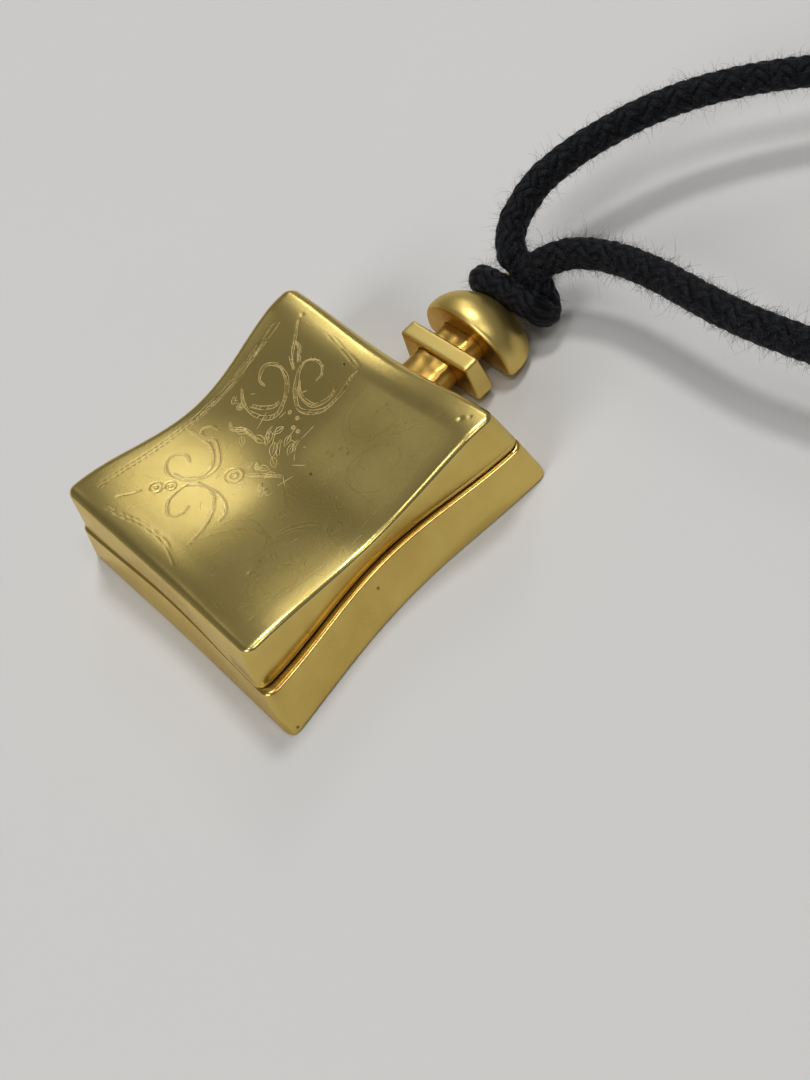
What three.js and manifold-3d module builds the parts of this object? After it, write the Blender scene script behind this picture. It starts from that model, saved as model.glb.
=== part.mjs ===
// Bottle-shaped locket pendant on a cord, in millimetres, +Z up.
// The origin is the centre of the flat underside. +Y points along the neck, +X to the side that opens.

import * as THREE from 'three';
import { mergeVertices } from 'three/addons/utils/BufferGeometryUtils.js';
import Module from 'manifold-3d';

const wasm = await Module();
wasm.setup();

// Block: half sizes of the foot at its corners, and how far the seam and the top draw in from it
const footHalfX = 16.0;
const footHalfY = 16.2;
const seamInsetX = 0.8;
const seamInsetY = 0.75;
const topInsetX = 1.4;
const topInsetY = 1.8;

// How far the middle of each side and end draws in
const footWaistSide = 1.0;
const footWaistEnd = 0.1;
const seamWaistSide = 1.65;
const seamWaistEnd = 0.43;
const topWaistSide = 1.0;
const topWaistEnd = 0.1;

// Heights
const seamHeight = 4.5;
const seamGap = 0.15;
const cornerHeight = 9.7;
const sideDip = 2.2;
const endDip = 0.9;
const cornerSharpness = 42;

// Flare of the foot towards its front corner on the opening side
const footFlare = 0.9;
const footFlarePower = 3;

// Ledge of the base's rim in front of the lid, on the opening side
const ledgeAtFoot = 0.8;
const ledgeAtNeck = 0.3;

// Well, tray and lid roof
const sideWall = 2.55;
const endWall = 3.52;
const wellCorner = 1.5;
const baseFloor = 0.9;
const lidRoof = 1.0;
const trayClearance = 0.15;
const trayWall = 0.45;
const trayFloor = 0.4;
const trayLip = 0.5;

// Hinge on the closed side
const hingeDrop = 0.5;
const knuckleRadius = 0.85;
const pinRadius = 0.35;
const pinClearance = 0.05;
const hingeLength = 12;
const lidKnuckleLength = 3.8;
const knuckleGap = 0.2;
const leafHeight = 1.6;
const leafBite = 0.8;
const leafInnerX = 1.1;
const leafKneeX = 0.7;
const lidLeafGap = 0.05;
const baseLeafRise = 0.2;
const stripHeight = 1.0;

// Closing magnets
const magnetRadius = 1.2;
const magnetThickness = 1.0;
const magnetClearance = 0.05;
const magnetWallX = 0.15;
const magnetWallY = 0.45;

// Neck: post, collar, stopper and bail
const neckUnderside = 0.7;
const postHalfWidth = 2.5;
const postLift = 0.5;
const postDrop = 0.4;
const postBevel = 0.6;
const tenonRadius = 1.0;
const tenonLength = 3.0;
const neckFit = 0.05;
const collarGap = 1.85;
const collarDepth = 2.1;
const collarTopDepth = 1.3;
const collarHalfWidth = 5.1;
const collarTopHalfWidth = 4.6;
const collarRoof = 0.5;
const domeGap = 1.55;
const domeHalfWidth = 5.8;
const domeHeight = 5.8;
const domeDepth = 5.3;
const domeBulge = 0.9;
const domeBore = 2.0;
const bailHalfWidth = 2.15;
const bailHalfLength = 2.95;
const bailWire = 0.4;
const bailZ = 2.3;
const bailSunk = 0.9;
const barStart = 1.0;

// Cord
const cordDiameter = 3.0;
const hitchDiameter = 2.7;
const hitchGap = 0.15;
const tableGap = 0.05;
const fitGap = 0.3;
const coilOuterTurn = 20.5;
const coilTurns = 3;
const knotHalf = 3.3;
const knotFlatness = 0.8;

// Mesh detail
const blockCells = 16;
const blockLayers = 2;
const roundSides = 24;
const cornerSides = 6;
const cordSides = 8;
const cordStepsPerPoint = 1.5;
const hitchSteps = 9;
const coilSides = 40;
const wireSides = 10;
const bailSides = 32;
const domeColumns = 32;
const domeRows = 20;
const knotColumns = 12;
const knotRows = 8;
const jointColumns = 8;
const jointRows = 6;
const weldDistance = 1e-4;

// How far a cutting shape runs past what it cuts
const overrun = 1;

// Sizes and places that follow from the ones above
const seamHalfX = footHalfX - seamInsetX;
const seamHalfY = footHalfY - seamInsetY;
const topHalfX = footHalfX - topInsetX;
const topHalfY = footHalfY - topInsetY;
const wellHalfX = seamHalfX - seamWaistSide - sideWall;
const wellHalfY = seamHalfY - seamWaistEnd - endWall;
const lidBottom = seamHeight + seamGap;
const hingeX = -seamHalfX;
const hingeZ = seamHeight - hingeDrop;
const magnetX = wellHalfX + magnetWallX + magnetClearance + magnetRadius;
const magnetY = wellHalfY + magnetWallY + magnetClearance + magnetRadius;
const postLow = neckUnderside + postLift;
const postHeight = seamHeight - postDrop - postLow;
const collarY = footHalfY + collarGap;
const collarHeight = postLift + postHeight + collarRoof;
const domeY = collarY + collarDepth + domeGap;
const postAxisZ = postLow + postHeight / 2;
const domeTip = domeY + domeDepth;
const bailY = domeTip - bailSunk + bailWire + bailHalfLength;
const coilInnerTurn = coilOuterTurn - coilTurns * cordDiameter;

// Helpers

function toSolid(geometry) {
  const bare = geometry.clone();
  bare.deleteAttribute('normal');
  bare.deleteAttribute('uv');
  const merged = mergeVertices(bare, weldDistance);
  const mesh = new wasm.Mesh({
    numProp: 3,
    vertProperties: new Float32Array(merged.attributes.position.array),
    triVerts: new Uint32Array(merged.index.array),
  });
  return new wasm.Manifold(mesh);
}

function toGeometry(solid) {
  const mesh = solid.getMesh();
  const geometry = new THREE.BufferGeometry();
  geometry.setAttribute('position', new THREE.BufferAttribute(mesh.vertProperties, 3));
  geometry.setIndex(new THREE.BufferAttribute(mesh.triVerts, 1));
  geometry.computeVertexNormals();
  return geometry;
}

function box(minX, maxX, minY, maxY, minZ, maxZ) {
  const geometry = new THREE.BoxGeometry(maxX - minX, maxY - minY, maxZ - minZ);
  geometry.translate((minX + maxX) / 2, (minY + maxY) / 2, (minZ + maxZ) / 2);
  return toSolid(geometry);
}

function rodAlongY(radius, x, z, fromY, toY) {
  const geometry = new THREE.CylinderGeometry(radius, radius, toY - fromY, roundSides);
  geometry.translate(x, (fromY + toY) / 2, z);
  return toSolid(geometry);
}

function disc(radius, x, y, fromZ, toZ) {
  const geometry = new THREE.CylinderGeometry(radius, radius, toZ - fromZ, roundSides);
  geometry.rotateX(Math.PI / 2);
  geometry.translate(x, y, (fromZ + toZ) / 2);
  return toSolid(geometry);
}

function roundedRectangle(halfX, halfY, corner) {
  const shape = new THREE.Shape();
  shape.moveTo(-halfX + corner, -halfY);
  shape.lineTo(halfX - corner, -halfY);
  shape.absarc(halfX - corner, -halfY + corner, corner, -Math.PI / 2, 0);
  shape.lineTo(halfX, halfY - corner);
  shape.absarc(halfX - corner, halfY - corner, corner, 0, Math.PI / 2);
  shape.lineTo(-halfX + corner, halfY);
  shape.absarc(-halfX + corner, halfY - corner, corner, Math.PI / 2, Math.PI);
  shape.lineTo(-halfX, -halfY + corner);
  shape.absarc(-halfX + corner, -halfY + corner, corner, Math.PI, Math.PI * 1.5);
  return shape;
}

function pocket(halfX, halfY, corner, fromZ, toZ) {
  const shape = roundedRectangle(halfX, halfY, corner);
  const options = { depth: toZ - fromZ, bevelEnabled: false, curveSegments: cornerSides };
  const geometry = new THREE.ExtrudeGeometry(shape, options);
  geometry.translate(0, 0, fromZ);
  return toSolid(geometry);
}

// An outline in X and Z, drawn out along Y
function profileAlongY(points, fromY, toY) {
  const shape = new THREE.Shape(points.map(([x, z]) => new THREE.Vector2(x, z)));
  const geometry = new THREE.ExtrudeGeometry(shape, { depth: toY - fromY, bevelEnabled: false });
  geometry.rotateX(Math.PI / 2);
  geometry.translate(0, toY, 0);
  return toSolid(geometry);
}

function tube(points, diameter, steps) {
  const places = points.map((point) => new THREE.Vector3(...point));
  const path = new THREE.CatmullRomCurve3(places, false, 'centripetal');
  const section = new THREE.Shape();
  section.absarc(0, 0, diameter / 2, 0, Math.PI * 2);
  const outline = new THREE.Shape(section.getPoints(cordSides).slice(0, -1));
  const geometry = new THREE.ExtrudeGeometry(outline, { steps, extrudePath: path, bevelEnabled: false });
  return toSolid(geometry);
}

function ball(radiusX, radiusY, radiusZ, x, y, z, columns, rows) {
  const geometry = new THREE.SphereGeometry(1, columns, rows);
  geometry.scale(radiusX, radiusY, radiusZ);
  geometry.translate(x, y, z);
  return toSolid(geometry);
}

function lerp(from, to, share) {
  return from + (to - from) * share;
}

// 1 in the middle of a side, easing to 0 at its ends
function hollow(along) {
  return Math.cos(Math.PI * along / 2) ** 2;
}

// The block

const foot = { halfX: footHalfX, halfY: footHalfY, side: footWaistSide, end: footWaistEnd };
const seam = { halfX: seamHalfX, halfY: seamHalfY, side: seamWaistSide, end: seamWaistEnd };
const top = { halfX: topHalfX, halfY: topHalfY, side: topWaistSide, end: topWaistEnd };

function topSurface(u, v) {
  return cornerHeight - sideDip * hollow(v) - endDip * hollow(u);
}

// A square box whose points are moved onto the block: u and v run from -1 to 1 across it
// and w from 0 to 1 up it, between two outlines. The sides draw in, the corners are round,
// and the ledge sets the lower outline back on the opening side, or flares it where negative.
function block(lower, upper, bottomAt, topAt, ledgeAt) {
  const geometry = new THREE.BoxGeometry(2, 2, 1, blockCells, blockCells, blockLayers);
  const position = geometry.attributes.position;
  for (let i = 0; i < position.count; i += 1) {
    const u = Math.sin(Math.PI * position.getX(i) / 2);
    const v = Math.sin(Math.PI * position.getY(i) / 2);
    const w = position.getZ(i) + 0.5;
    const halfX = lerp(lower.halfX, upper.halfX, w) - lerp(lower.side, upper.side, w) * hollow(v);
    const halfY = lerp(lower.halfY, upper.halfY, w) - lerp(lower.end, upper.end, w) * hollow(u);
    const roundX = 1 - Math.abs(v) ** cornerSharpness / cornerSharpness;
    const roundY = 1 - Math.abs(u) ** cornerSharpness / cornerSharpness;
    const setBack = Math.max(u, 0) * ledgeAt(v) * (1 - w);
    const z = lerp(bottomAt(u, v), topAt(u, v), w);
    position.setXYZ(i, u * halfX * roundX - setBack, v * halfY * roundY, z);
  }
  return toSolid(geometry);
}

const noLedge = () => 0;
const baseFlare = (v) => -footFlare * Math.max(0, -v) ** footFlarePower;
const lidLedge = (v) => lerp(ledgeAtFoot, ledgeAtNeck, (v + 1) / 2);
const baseBlock = block(foot, seam, () => 0, () => seamHeight, baseFlare);
const lidBlock = block(seam, top, () => lidBottom, topSurface, lidLedge);

const magnetPlaces = { foot: -magnetY, neck: magnetY };

function magnetPocket(y, fromZ, toZ) {
  return disc(magnetRadius + magnetClearance, magnetX, y, fromZ, toZ);
}

function makeBaseShell() {
  let solid = baseBlock.subtract(pocket(wellHalfX, wellHalfY, wellCorner, baseFloor, seamHeight + overrun));
  for (const y of Object.values(magnetPlaces)) {
    const bottom = seamHeight - magnetThickness - magnetClearance;
    solid = solid.subtract(magnetPocket(y, bottom, seamHeight + overrun));
  }
  const holeEnd = footHalfY - tenonLength - neckFit;
  return solid.subtract(rodAlongY(tenonRadius + neckFit, 0, postAxisZ, holeEnd, footHalfY + overrun));
}

function makeLidShell() {
  const roofAt = (u, v) => topSurface(u * wellHalfX / topHalfX, v * wellHalfY / topHalfY) - lidRoof;
  const cavity = { halfX: wellHalfX, halfY: wellHalfY, side: 0, end: 0 };
  const hollowSpace = block(cavity, cavity, () => lidBottom - overrun, roofAt, noLedge);
  let solid = lidBlock.subtract(hollowSpace);
  for (const y of Object.values(magnetPlaces)) {
    const roof = lidBottom + magnetThickness + magnetClearance;
    solid = solid.subtract(magnetPocket(y, lidBottom - overrun, roof));
  }
  return solid;
}

function makeTray() {
  const halfX = wellHalfX - trayClearance;
  const halfY = wellHalfY - trayClearance;
  const corner = wellCorner - trayClearance;
  const outside = pocket(halfX, halfY, corner, baseFloor, seamHeight + trayLip);
  const floorTop = baseFloor + trayFloor;
  const open = seamHeight + trayLip + overrun;
  const inside = pocket(halfX - trayWall, halfY - trayWall, corner - trayWall, floorTop, open);
  return outside.subtract(inside);
}

function makeMagnet(y, fromZ) {
  return disc(magnetRadius, magnetX, y, fromZ, fromZ + magnetThickness);
}

// The hinge

const hingeBore = rodAlongY(pinRadius + pinClearance, hingeX, hingeZ, -hingeLength, hingeLength);

// One knuckle with the arm that carries it on the wall; side is 1 for the lid and -1 for the base
function leafKnuckle(fromY, toY, side) {
  const knuckle = rodAlongY(knuckleRadius, hingeX, hingeZ, fromY, toY);
  const wallX = -seamHalfX + seamWaistSide + leafBite;
  const tangentZ = hingeZ + side * knuckleRadius;
  const nearZ = side > 0 ? lidBottom + lidLeafGap : hingeZ + baseLeafRise;
  const farZ = nearZ + side * leafHeight;
  const innerX = hingeX + leafInnerX;
  const kneeX = hingeX + leafKneeX;
  const outline = [[hingeX, tangentZ], [wallX, farZ], [wallX, nearZ], [innerX, nearZ], [kneeX, hingeZ]];
  if (side > 0) {
    outline.reverse();
  }
  return knuckle.add(profileAlongY(outline, fromY, toY));
}

function makeBaseLeaf() {
  const end = hingeLength / 2;
  const inner = lidKnuckleLength / 2 + knuckleGap;
  const both = leafKnuckle(-end, -inner, -1).add(leafKnuckle(inner, end, -1));
  const stripTop = hingeZ - knuckleRadius;
  const strip = box(hingeX + leafKneeX, 0, -end, end, stripTop - stripHeight, stripTop);
  return both.add(strip).subtract(hingeBore).subtract(baseBlock);
}

function makeLidLeaf() {
  const half = lidKnuckleLength / 2;
  return leafKnuckle(-half, half, 1).subtract(hingeBore).subtract(lidBlock);
}

function makeHingePin() {
  return rodAlongY(pinRadius, hingeX, hingeZ, -hingeLength / 2, hingeLength / 2);
}

// The neck

function postBar(grow, fromY, toY) {
  const low = postLow - grow;
  const high = postLow + postHeight + grow;
  const half = postHalfWidth + grow;
  const bevel = postBevel;
  const outline = [
    [-half + bevel, low], [half - bevel, low], [half, low + bevel], [half, high - bevel],
    [half - bevel, high], [-half + bevel, high], [-half, high - bevel], [-half, low + bevel],
  ];
  return profileAlongY(outline, fromY, toY);
}

function makePost() {
  const bar = postBar(0, footHalfY - barStart, domeY + domeBore - neckFit);
  const tenon = rodAlongY(tenonRadius, 0, postAxisZ, footHalfY - tenonLength, footHalfY);
  return bar.subtract(baseBlock).add(tenon);
}

function makeCollar() {
  const geometry = new THREE.BoxGeometry(2, 1, 1);
  const position = geometry.attributes.position;
  for (let i = 0; i < position.count; i += 1) {
    const up = position.getZ(i) + 0.5;
    const x = position.getX(i) * lerp(collarHalfWidth, collarTopHalfWidth, up);
    const y = collarY + collarDepth / 2 + position.getY(i) * lerp(collarDepth, collarTopDepth, up);
    position.setXYZ(i, x, y, neckUnderside + up * collarHeight);
  }
  return toSolid(geometry).subtract(postBar(neckFit, collarY - overrun, collarY + collarDepth + overrun));
}

// An oval ring lying flat: round wire, drawn out along Y
function bailRing(wire) {
  const geometry = new THREE.TorusGeometry(bailHalfWidth, wire, wireSides, bailSides);
  const position = geometry.attributes.position;
  const stretch = bailHalfLength - bailHalfWidth;
  for (let i = 0; i < position.count; i += 1) {
    const y = position.getY(i);
    const bend = Math.max(-1, Math.min(1, y / bailHalfWidth));
    position.setY(i, y + stretch * bend);
  }
  geometry.translate(0, bailY, bailZ);
  return toSolid(geometry);
}

function domeBody(grow) {
  const depth = domeDepth - domeBulge;
  const faceShare = Math.sqrt(1 - (domeBulge / depth) ** 2);
  const halfWidth = domeHalfWidth / faceShare;
  const centreY = domeY + domeBulge;
  const sizes = [halfWidth + grow, depth + grow, domeHeight + grow];
  const whole = ball(...sizes, 0, centreY, neckUnderside, domeColumns, domeRows);
  const reach = 2 * domeHalfWidth;
  return whole.intersect(box(-reach, reach, domeY - grow, domeY + reach, neckUnderside - grow, reach));
}

function makeDome() {
  const bore = postBar(neckFit, domeY - overrun, domeY + domeBore);
  return domeBody(0).subtract(bore).subtract(bailRing(bailWire + neckFit));
}

// The cord

// Each run: from the hitch, over the table, to the point where its coil starts
const upperRun = [
  [-0.9, 30.3, 5.4], [-1.9, 31.3, 6.0], [-2.8, 32.9, 6.6], [-3.2, 35.1, 7.2], [-3.4, 37.4, 7.6],
  [-3.0, 39.8, 7.9], [-2.4, 42.6, 8.0], [-1.4, 45.6, 8.0], [-0.2, 48.5, 8.0], [1.4, 51.4, 7.9],
  [3.4, 54.1, 7.8], [5.8, 56.8, 7.6], [8.2, 59.0, 7.4], [10.1, 60.6, 7.2], [14.4, 64.4, 6.8],
  [18.8, 68.3, 5.8], [23.1, 72.4, 4.4], [27.3, 76.4, 3.1], [31.5, 80.6, 2.1], [35.6, 84.8, 1.6],
  [39.6, 89.0, 1.5],
];
const lowerRun = [
  [1.7, 30.1, 5.0], [2.8, 31.0, 5.8], [4.7, 32.6, 6.4], [7.3, 33.6, 6.8], [10.3, 34.1, 7.1],
  [13.8, 34.2, 7.4], [17.2, 34.1, 7.5], [20.6, 33.9, 7.6], [23.5, 33.9, 7.6], [26.2, 34.1, 7.5],
  [30.6, 34.7, 7.3], [36.4, 35.7, 6.9], [42.2, 36.8, 5.9], [47.9, 38.0, 4.5], [53.6, 39.4, 3.1],
  [59.3, 41.0, 2.1], [64.9, 42.8, 1.6], [70.5, 44.7, 1.5],
];
const upperCoilCentre = [24.6, 103.0];
const lowerCoilCentre = [63.5, 64.0];

// The hitch: down through the bail, out under one leg, over both, back under the other and up again
const hitchRear = [
  [-0.9, 30.3, 5.4], [-0.6, 30.7, 4.2], [-0.2, 30.9, 2.6], [-0.9, 30.5, 1.2], [-2.2, 29.6, 1.0],
  [-3.2, 28.7, 1.4], [-3.5, 28.0, 2.6],
];
const hitchBar = [
  [-3.5, 28.0, 2.6], [-3.0, 27.6, 3.7], [-1.8, 27.5, 4.05], [0.6, 27.5, 4.05], [3.0, 27.5, 4.05],
  [4.2, 27.7, 3.6], [4.4, 28.1, 2.5],
];
const hitchFront = [
  [4.4, 28.1, 2.5], [3.7, 28.5, 1.3], [2.3, 28.5, 1.0], [0.9, 28.4, 1.2], [0.3, 28.6, 2.5],
  [0.8, 29.3, 3.9], [1.7, 30.1, 5.0],
];

function coilRing(centre, grow) {
  const outer = coilOuterTurn + cordDiameter / 2 + grow;
  const inner = coilInnerTurn - cordDiameter / 2 - grow;
  const height = cordDiameter + grow;
  const profile = [[inner, 0], [outer, 0], [outer, height], [inner, height], [inner, 0]];
  const geometry = new THREE.LatheGeometry(profile.map(([x, y]) => new THREE.Vector2(x, y)), coilSides);
  geometry.rotateX(Math.PI / 2);
  geometry.translate(centre[0], centre[1], 0);
  return toSolid(geometry);
}

function hitchBody(grow) {
  const radius = hitchDiameter / 2 + grow;
  const turns = [hitchRear, hitchBar, hitchFront].map((points) => tube(points, 2 * radius, hitchSteps));
  const places = [hitchBar[0], hitchFront[0]];
  const ends = places.map((place) => ball(radius, radius, radius, ...place, jointColumns, jointRows));
  return wasm.Manifold.union([...turns, ...ends]);
}

function makeHitch() {
  const reach = 2 * domeTip;
  const aboveTable = box(-reach, reach, 0, reach, tableGap, reach);
  const clear = hitchBody(0).intersect(aboveTable).subtract(domeBody(hitchGap));
  return clear.subtract(bailRing(bailWire + hitchGap));
}

function makeRun(points, coilCentre) {
  const run = tube(points, cordDiameter, Math.round(points.length * cordStepsPerPoint));
  return run.subtract(coilRing(coilCentre, fitGap)).subtract(hitchBody(fitGap));
}

function makeEndKnot(centre) {
  const offset = coilInnerTurn - cordDiameter / 2 - fitGap - knotHalf;
  const height = knotHalf * knotFlatness;
  const place = [centre[0] - offset, centre[1], height];
  return ball(knotHalf, knotHalf, height, ...place, knotColumns, knotRows);
}

// Materials and assembly

const satinGold = { color: 0xb59a4e, roughness: 0.38, metalness: 1 };
const polishedGold = { color: 0xcfa545, roughness: 0.16, metalness: 1 };
const nickel = { color: 0xb9b9b4, roughness: 0.3, metalness: 1 };
const waxedCotton = { color: 0x14161c, roughness: 0.75, metalness: 0 };

const part = new THREE.Group();

function addPart(name, solid, finish) {
  const mesh = new THREE.Mesh(toGeometry(solid), new THREE.MeshStandardMaterial(finish));
  mesh.name = name;
  part.add(mesh);
}

addPart('base_shell', makeBaseShell(), polishedGold);
addPart('lid_shell', makeLidShell(), satinGold);
addPart('inner_tray', makeTray(), polishedGold);
addPart('base_hinge_leaf', makeBaseLeaf(), polishedGold);
addPart('lid_hinge_leaf', makeLidLeaf(), polishedGold);
addPart('hinge_pin', makeHingePin(), polishedGold);
for (const [place, y] of Object.entries(magnetPlaces)) {
  addPart(`base_magnet_${place}`, makeMagnet(y, seamHeight - magnetThickness), nickel);
  addPart(`lid_magnet_${place}`, makeMagnet(y, lidBottom), nickel);
}
addPart('neck_post', makePost(), polishedGold);
addPart('neck_collar', makeCollar(), polishedGold);
addPart('stopper_dome', makeDome(), polishedGold);
addPart('bail_loop', bailRing(bailWire), polishedGold);
addPart('cord_hitch', makeHitch(), waxedCotton);
addPart('cord_tail_upper', makeRun(upperRun, upperCoilCentre), waxedCotton);
addPart('cord_tail_lower', makeRun(lowerRun, lowerCoilCentre), waxedCotton);
addPart('cord_coil_upper', coilRing(upperCoilCentre, 0), waxedCotton);
addPart('cord_coil_lower', coilRing(lowerCoilCentre, 0), waxedCotton);
addPart('cord_end_knot_upper', makeEndKnot(upperCoilCentre), waxedCotton);
addPart('cord_end_knot_lower', makeEndKnot(lowerCoilCentre), waxedCotton);

export default part;
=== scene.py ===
import bpy
import math
import numpy as np
from mathutils import Matrix, Vector


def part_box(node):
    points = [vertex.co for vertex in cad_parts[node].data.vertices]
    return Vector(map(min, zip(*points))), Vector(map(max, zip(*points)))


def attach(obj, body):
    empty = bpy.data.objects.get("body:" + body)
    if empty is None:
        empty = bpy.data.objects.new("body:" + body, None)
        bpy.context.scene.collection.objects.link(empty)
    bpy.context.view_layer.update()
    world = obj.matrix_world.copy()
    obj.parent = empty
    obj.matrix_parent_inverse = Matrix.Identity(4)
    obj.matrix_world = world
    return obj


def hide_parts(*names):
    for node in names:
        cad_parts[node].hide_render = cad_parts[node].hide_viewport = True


# A bottle-shaped locket pendant on a waxed cord. Shapes are worked out in millimetres and stored in metres.

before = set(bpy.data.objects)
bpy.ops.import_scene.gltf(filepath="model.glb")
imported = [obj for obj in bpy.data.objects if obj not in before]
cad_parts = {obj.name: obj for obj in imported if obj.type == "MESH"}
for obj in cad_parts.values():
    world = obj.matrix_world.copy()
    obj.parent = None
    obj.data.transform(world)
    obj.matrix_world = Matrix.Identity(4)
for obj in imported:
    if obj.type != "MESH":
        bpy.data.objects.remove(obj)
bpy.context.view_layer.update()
mm = 0.001


# Camera

camera = {
    "eye": (90.49, -21.97, 102.51),       # mm
    "forward": (-0.60645, 0.19122, -0.77179),
    "up": (-0.47536, 0.69089, 0.54470),
    "lens": 49.82,
    "sensor": 36.0,
}


def addObject(name, data):
    item = bpy.data.objects.new(name, data)
    bpy.context.scene.collection.objects.link(item)
    return item


def makeCamera():
    data = bpy.data.cameras.new("camera")
    data.lens = camera["lens"]
    data.sensor_width = camera["sensor"]
    data.sensor_fit = "AUTO"
    data.clip_start = 0.005
    data.clip_end = 20
    item = addObject("camera", data)
    forward = Vector(camera["forward"]).normalized()
    right = forward.cross(Vector(camera["up"])).normalized()
    turn = Matrix((right, right.cross(forward).normalized(), -forward)).transposed()
    item.matrix_world = Matrix.Translation(Vector(camera["eye"]) * mm) @ turn.to_4x4()
    bpy.context.scene.camera = item


makeCamera()
print("camera set")


# Numbers and meshes

def smooth(t):
    t = np.clip(t, 0.0, 1.0)
    return t * t * (3 - 2 * t)


def lerp(a, b, t):
    return a + (b - a) * t


def unit(vectors):
    return vectors / np.maximum(np.linalg.norm(vectors, axis=-1, keepdims=True), 1e-9)


# 1 in the middle of a side, easing to 0 at its ends as a squared cosine
def hollow(t):
    return np.cos(np.pi * t / 2) ** 2


# Quads between the rows and columns of a grid of points; a closed direction joins its last line to its first
def gridFaces(rows, columns, closeRows=False, closeColumns=False, start=0, flip=False):
    i = np.arange(rows if closeRows else rows - 1)
    j = np.arange(columns if closeColumns else columns - 1)
    i, j = np.meshgrid(i, j, indexing="ij")
    nextI, nextJ = (i + 1) % rows, (j + 1) % columns
    quads = np.stack([i * columns + j, i * columns + nextJ, nextI * columns + nextJ, nextI * columns + j], -1)
    quads = quads.reshape(-1, 4) + start
    return quads[:, ::-1] if flip else quads


# Triangles from a closed ring of points to one pole
def poleFaces(ring, pole, flip=False):
    tris = np.stack([ring, np.roll(ring, -1), np.full(len(ring), pole)], -1)
    return tris[:, ::-1] if flip else tris


# Closed rings of equal count, one above another, joined by quads and closed to a pole at each end
def cappedStack(rings, firstPole, lastPole):
    rings = np.asarray(rings)
    rows, sides = rings.shape[:2]
    points = np.vstack([rings.reshape(-1, 3), firstPole, lastPole])
    ring = np.arange(sides)
    return points, [
        gridFaces(rows, sides, closeColumns=True),
        poleFaces(ring, rows * sides, flip=True),
        poleFaces(ring + (rows - 1) * sides, rows * sides + 1),
    ]


# A closed mesh is inside out where the signed volume of the fans of its faces is negative
def insideOut(points, faceSets):
    volume = 0.0
    for faces in faceSets:
        for k in range(1, faces.shape[1] - 1):
            across = np.cross(points[faces[:, k]], points[faces[:, k + 1]])
            volume += np.einsum("ij,ij->i", points[faces[:, 0]], across).sum()
    return volume < 0


def reverse(sets):
    return [s[:, ::-1] for s in sets]


def outward(points, faceSets):
    return reverse(faceSets) if insideOut(points, faceSets) else faceSets


def makeMesh(name, points, faceSets, values=None):
    mesh = bpy.data.meshes.new(name)
    faceSets = outward(points, faceSets)
    corners = np.concatenate([f.ravel() for f in faceSets]).astype(np.int32)
    sizes = np.concatenate([np.full(len(f), f.shape[1], np.int32) for f in faceSets])
    mesh.vertices.add(len(points))
    mesh.vertices.foreach_set("co", (np.asarray(points) * mm).astype(np.float32).ravel())
    mesh.loops.add(len(corners))
    mesh.loops.foreach_set("vertex_index", corners)
    mesh.polygons.add(len(sizes))
    mesh.polygons.foreach_set("loop_start", (np.cumsum(sizes) - sizes).astype(np.int32))
    mesh.update(calc_edges=True)
    mesh.polygons.foreach_set("use_smooth", np.ones(len(sizes), bool))
    for label, numbers in (values or {}).items():
        attribute = mesh.attributes.new(label, "FLOAT", "POINT")
        attribute.data.foreach_set("value", np.asarray(numbers, np.float32))
    mesh.update()
    return mesh


def makePiece(name, points, faceSets, body, slotName, material, values=None, nodes=()):
    item = addObject(name, makeMesh(name, points, faceSets, values))
    item.data.materials.append(material)
    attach(item, body)
    if nodes:
        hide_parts(*nodes)
    return item


# A finished mesh with closed cutter shapes taken out of it
def cutAway(item, cutters):
    for cutter in cutters:
        tool = addObject("cutter", cutter)
        change = item.modifiers.new("cut", "BOOLEAN")
        change.operation = "DIFFERENCE"
        change.solver = "EXACT"
        change.object = tool
        bpy.context.view_layer.update()
        graph = bpy.context.evaluated_depsgraph_get()
        cut = bpy.data.meshes.new_from_object(item.evaluated_get(graph), depsgraph=graph)
        item.modifiers.clear()
        old, item.data = item.data, cut
        cut.name = old.name
        bpy.data.meshes.remove(old)
        bpy.data.objects.remove(tool)


# Flat faces stay flat and round ones smooth, split at edges sharper than the angle
def sharpen(item, degrees):
    item.data.polygons.foreach_set("use_smooth", np.ones(len(item.data.polygons), bool))
    item.data.set_sharp_from_angle(angle=math.radians(degrees))


# Even steps along a centripetal Catmull-Rom curve: each span blends three lines, then two, then one
def alongPath(points, step):
    points = np.asarray(points, float)
    gaps = np.sqrt(np.linalg.norm(np.diff(points, axis=0), axis=1))
    knots = np.concatenate([[0], np.cumsum(gaps)])
    padded = np.vstack([2 * points[0] - points[1], points, 2 * points[-1] - points[-2]])
    pads = np.concatenate([[knots[0] - gaps[0]], knots, [knots[-1] + gaps[-1]]])
    found = []
    for k in range(len(points) - 1):
        p0, p1, p2, p3 = padded[k:k + 4]
        t0, t1, t2, t3 = pads[k:k + 4]
        t = np.linspace(t1, t2, 60, endpoint=False)[:, None]
        a1 = (t1 - t) / (t1 - t0) * p0 + (t - t0) / (t1 - t0) * p1
        a2 = (t2 - t) / (t2 - t1) * p1 + (t - t1) / (t2 - t1) * p2
        a3 = (t3 - t) / (t3 - t2) * p2 + (t - t2) / (t3 - t2) * p3
        b1 = (t2 - t) / (t2 - t0) * a1 + (t - t0) / (t2 - t0) * a2
        b2 = (t3 - t) / (t3 - t1) * a2 + (t - t1) / (t3 - t1) * a3
        found.append((t2 - t) / (t2 - t1) * b1 + (t - t1) / (t2 - t1) * b2)
    fine = np.vstack(found + [points[-1:]])
    lengths = np.concatenate([[0], np.cumsum(np.linalg.norm(np.diff(fine, axis=0), axis=1))])
    count = max(3, int(round(lengths[-1] / step)) + 1)
    places = np.linspace(0, lengths[-1], count)
    return np.stack([np.interp(places, lengths, fine[:, c]) for c in range(3)], -1), places


def flatPath(points, step):
    return alongPath([(x, y, 0.0) for x, y in points], step)[0][:, :2]


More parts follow.
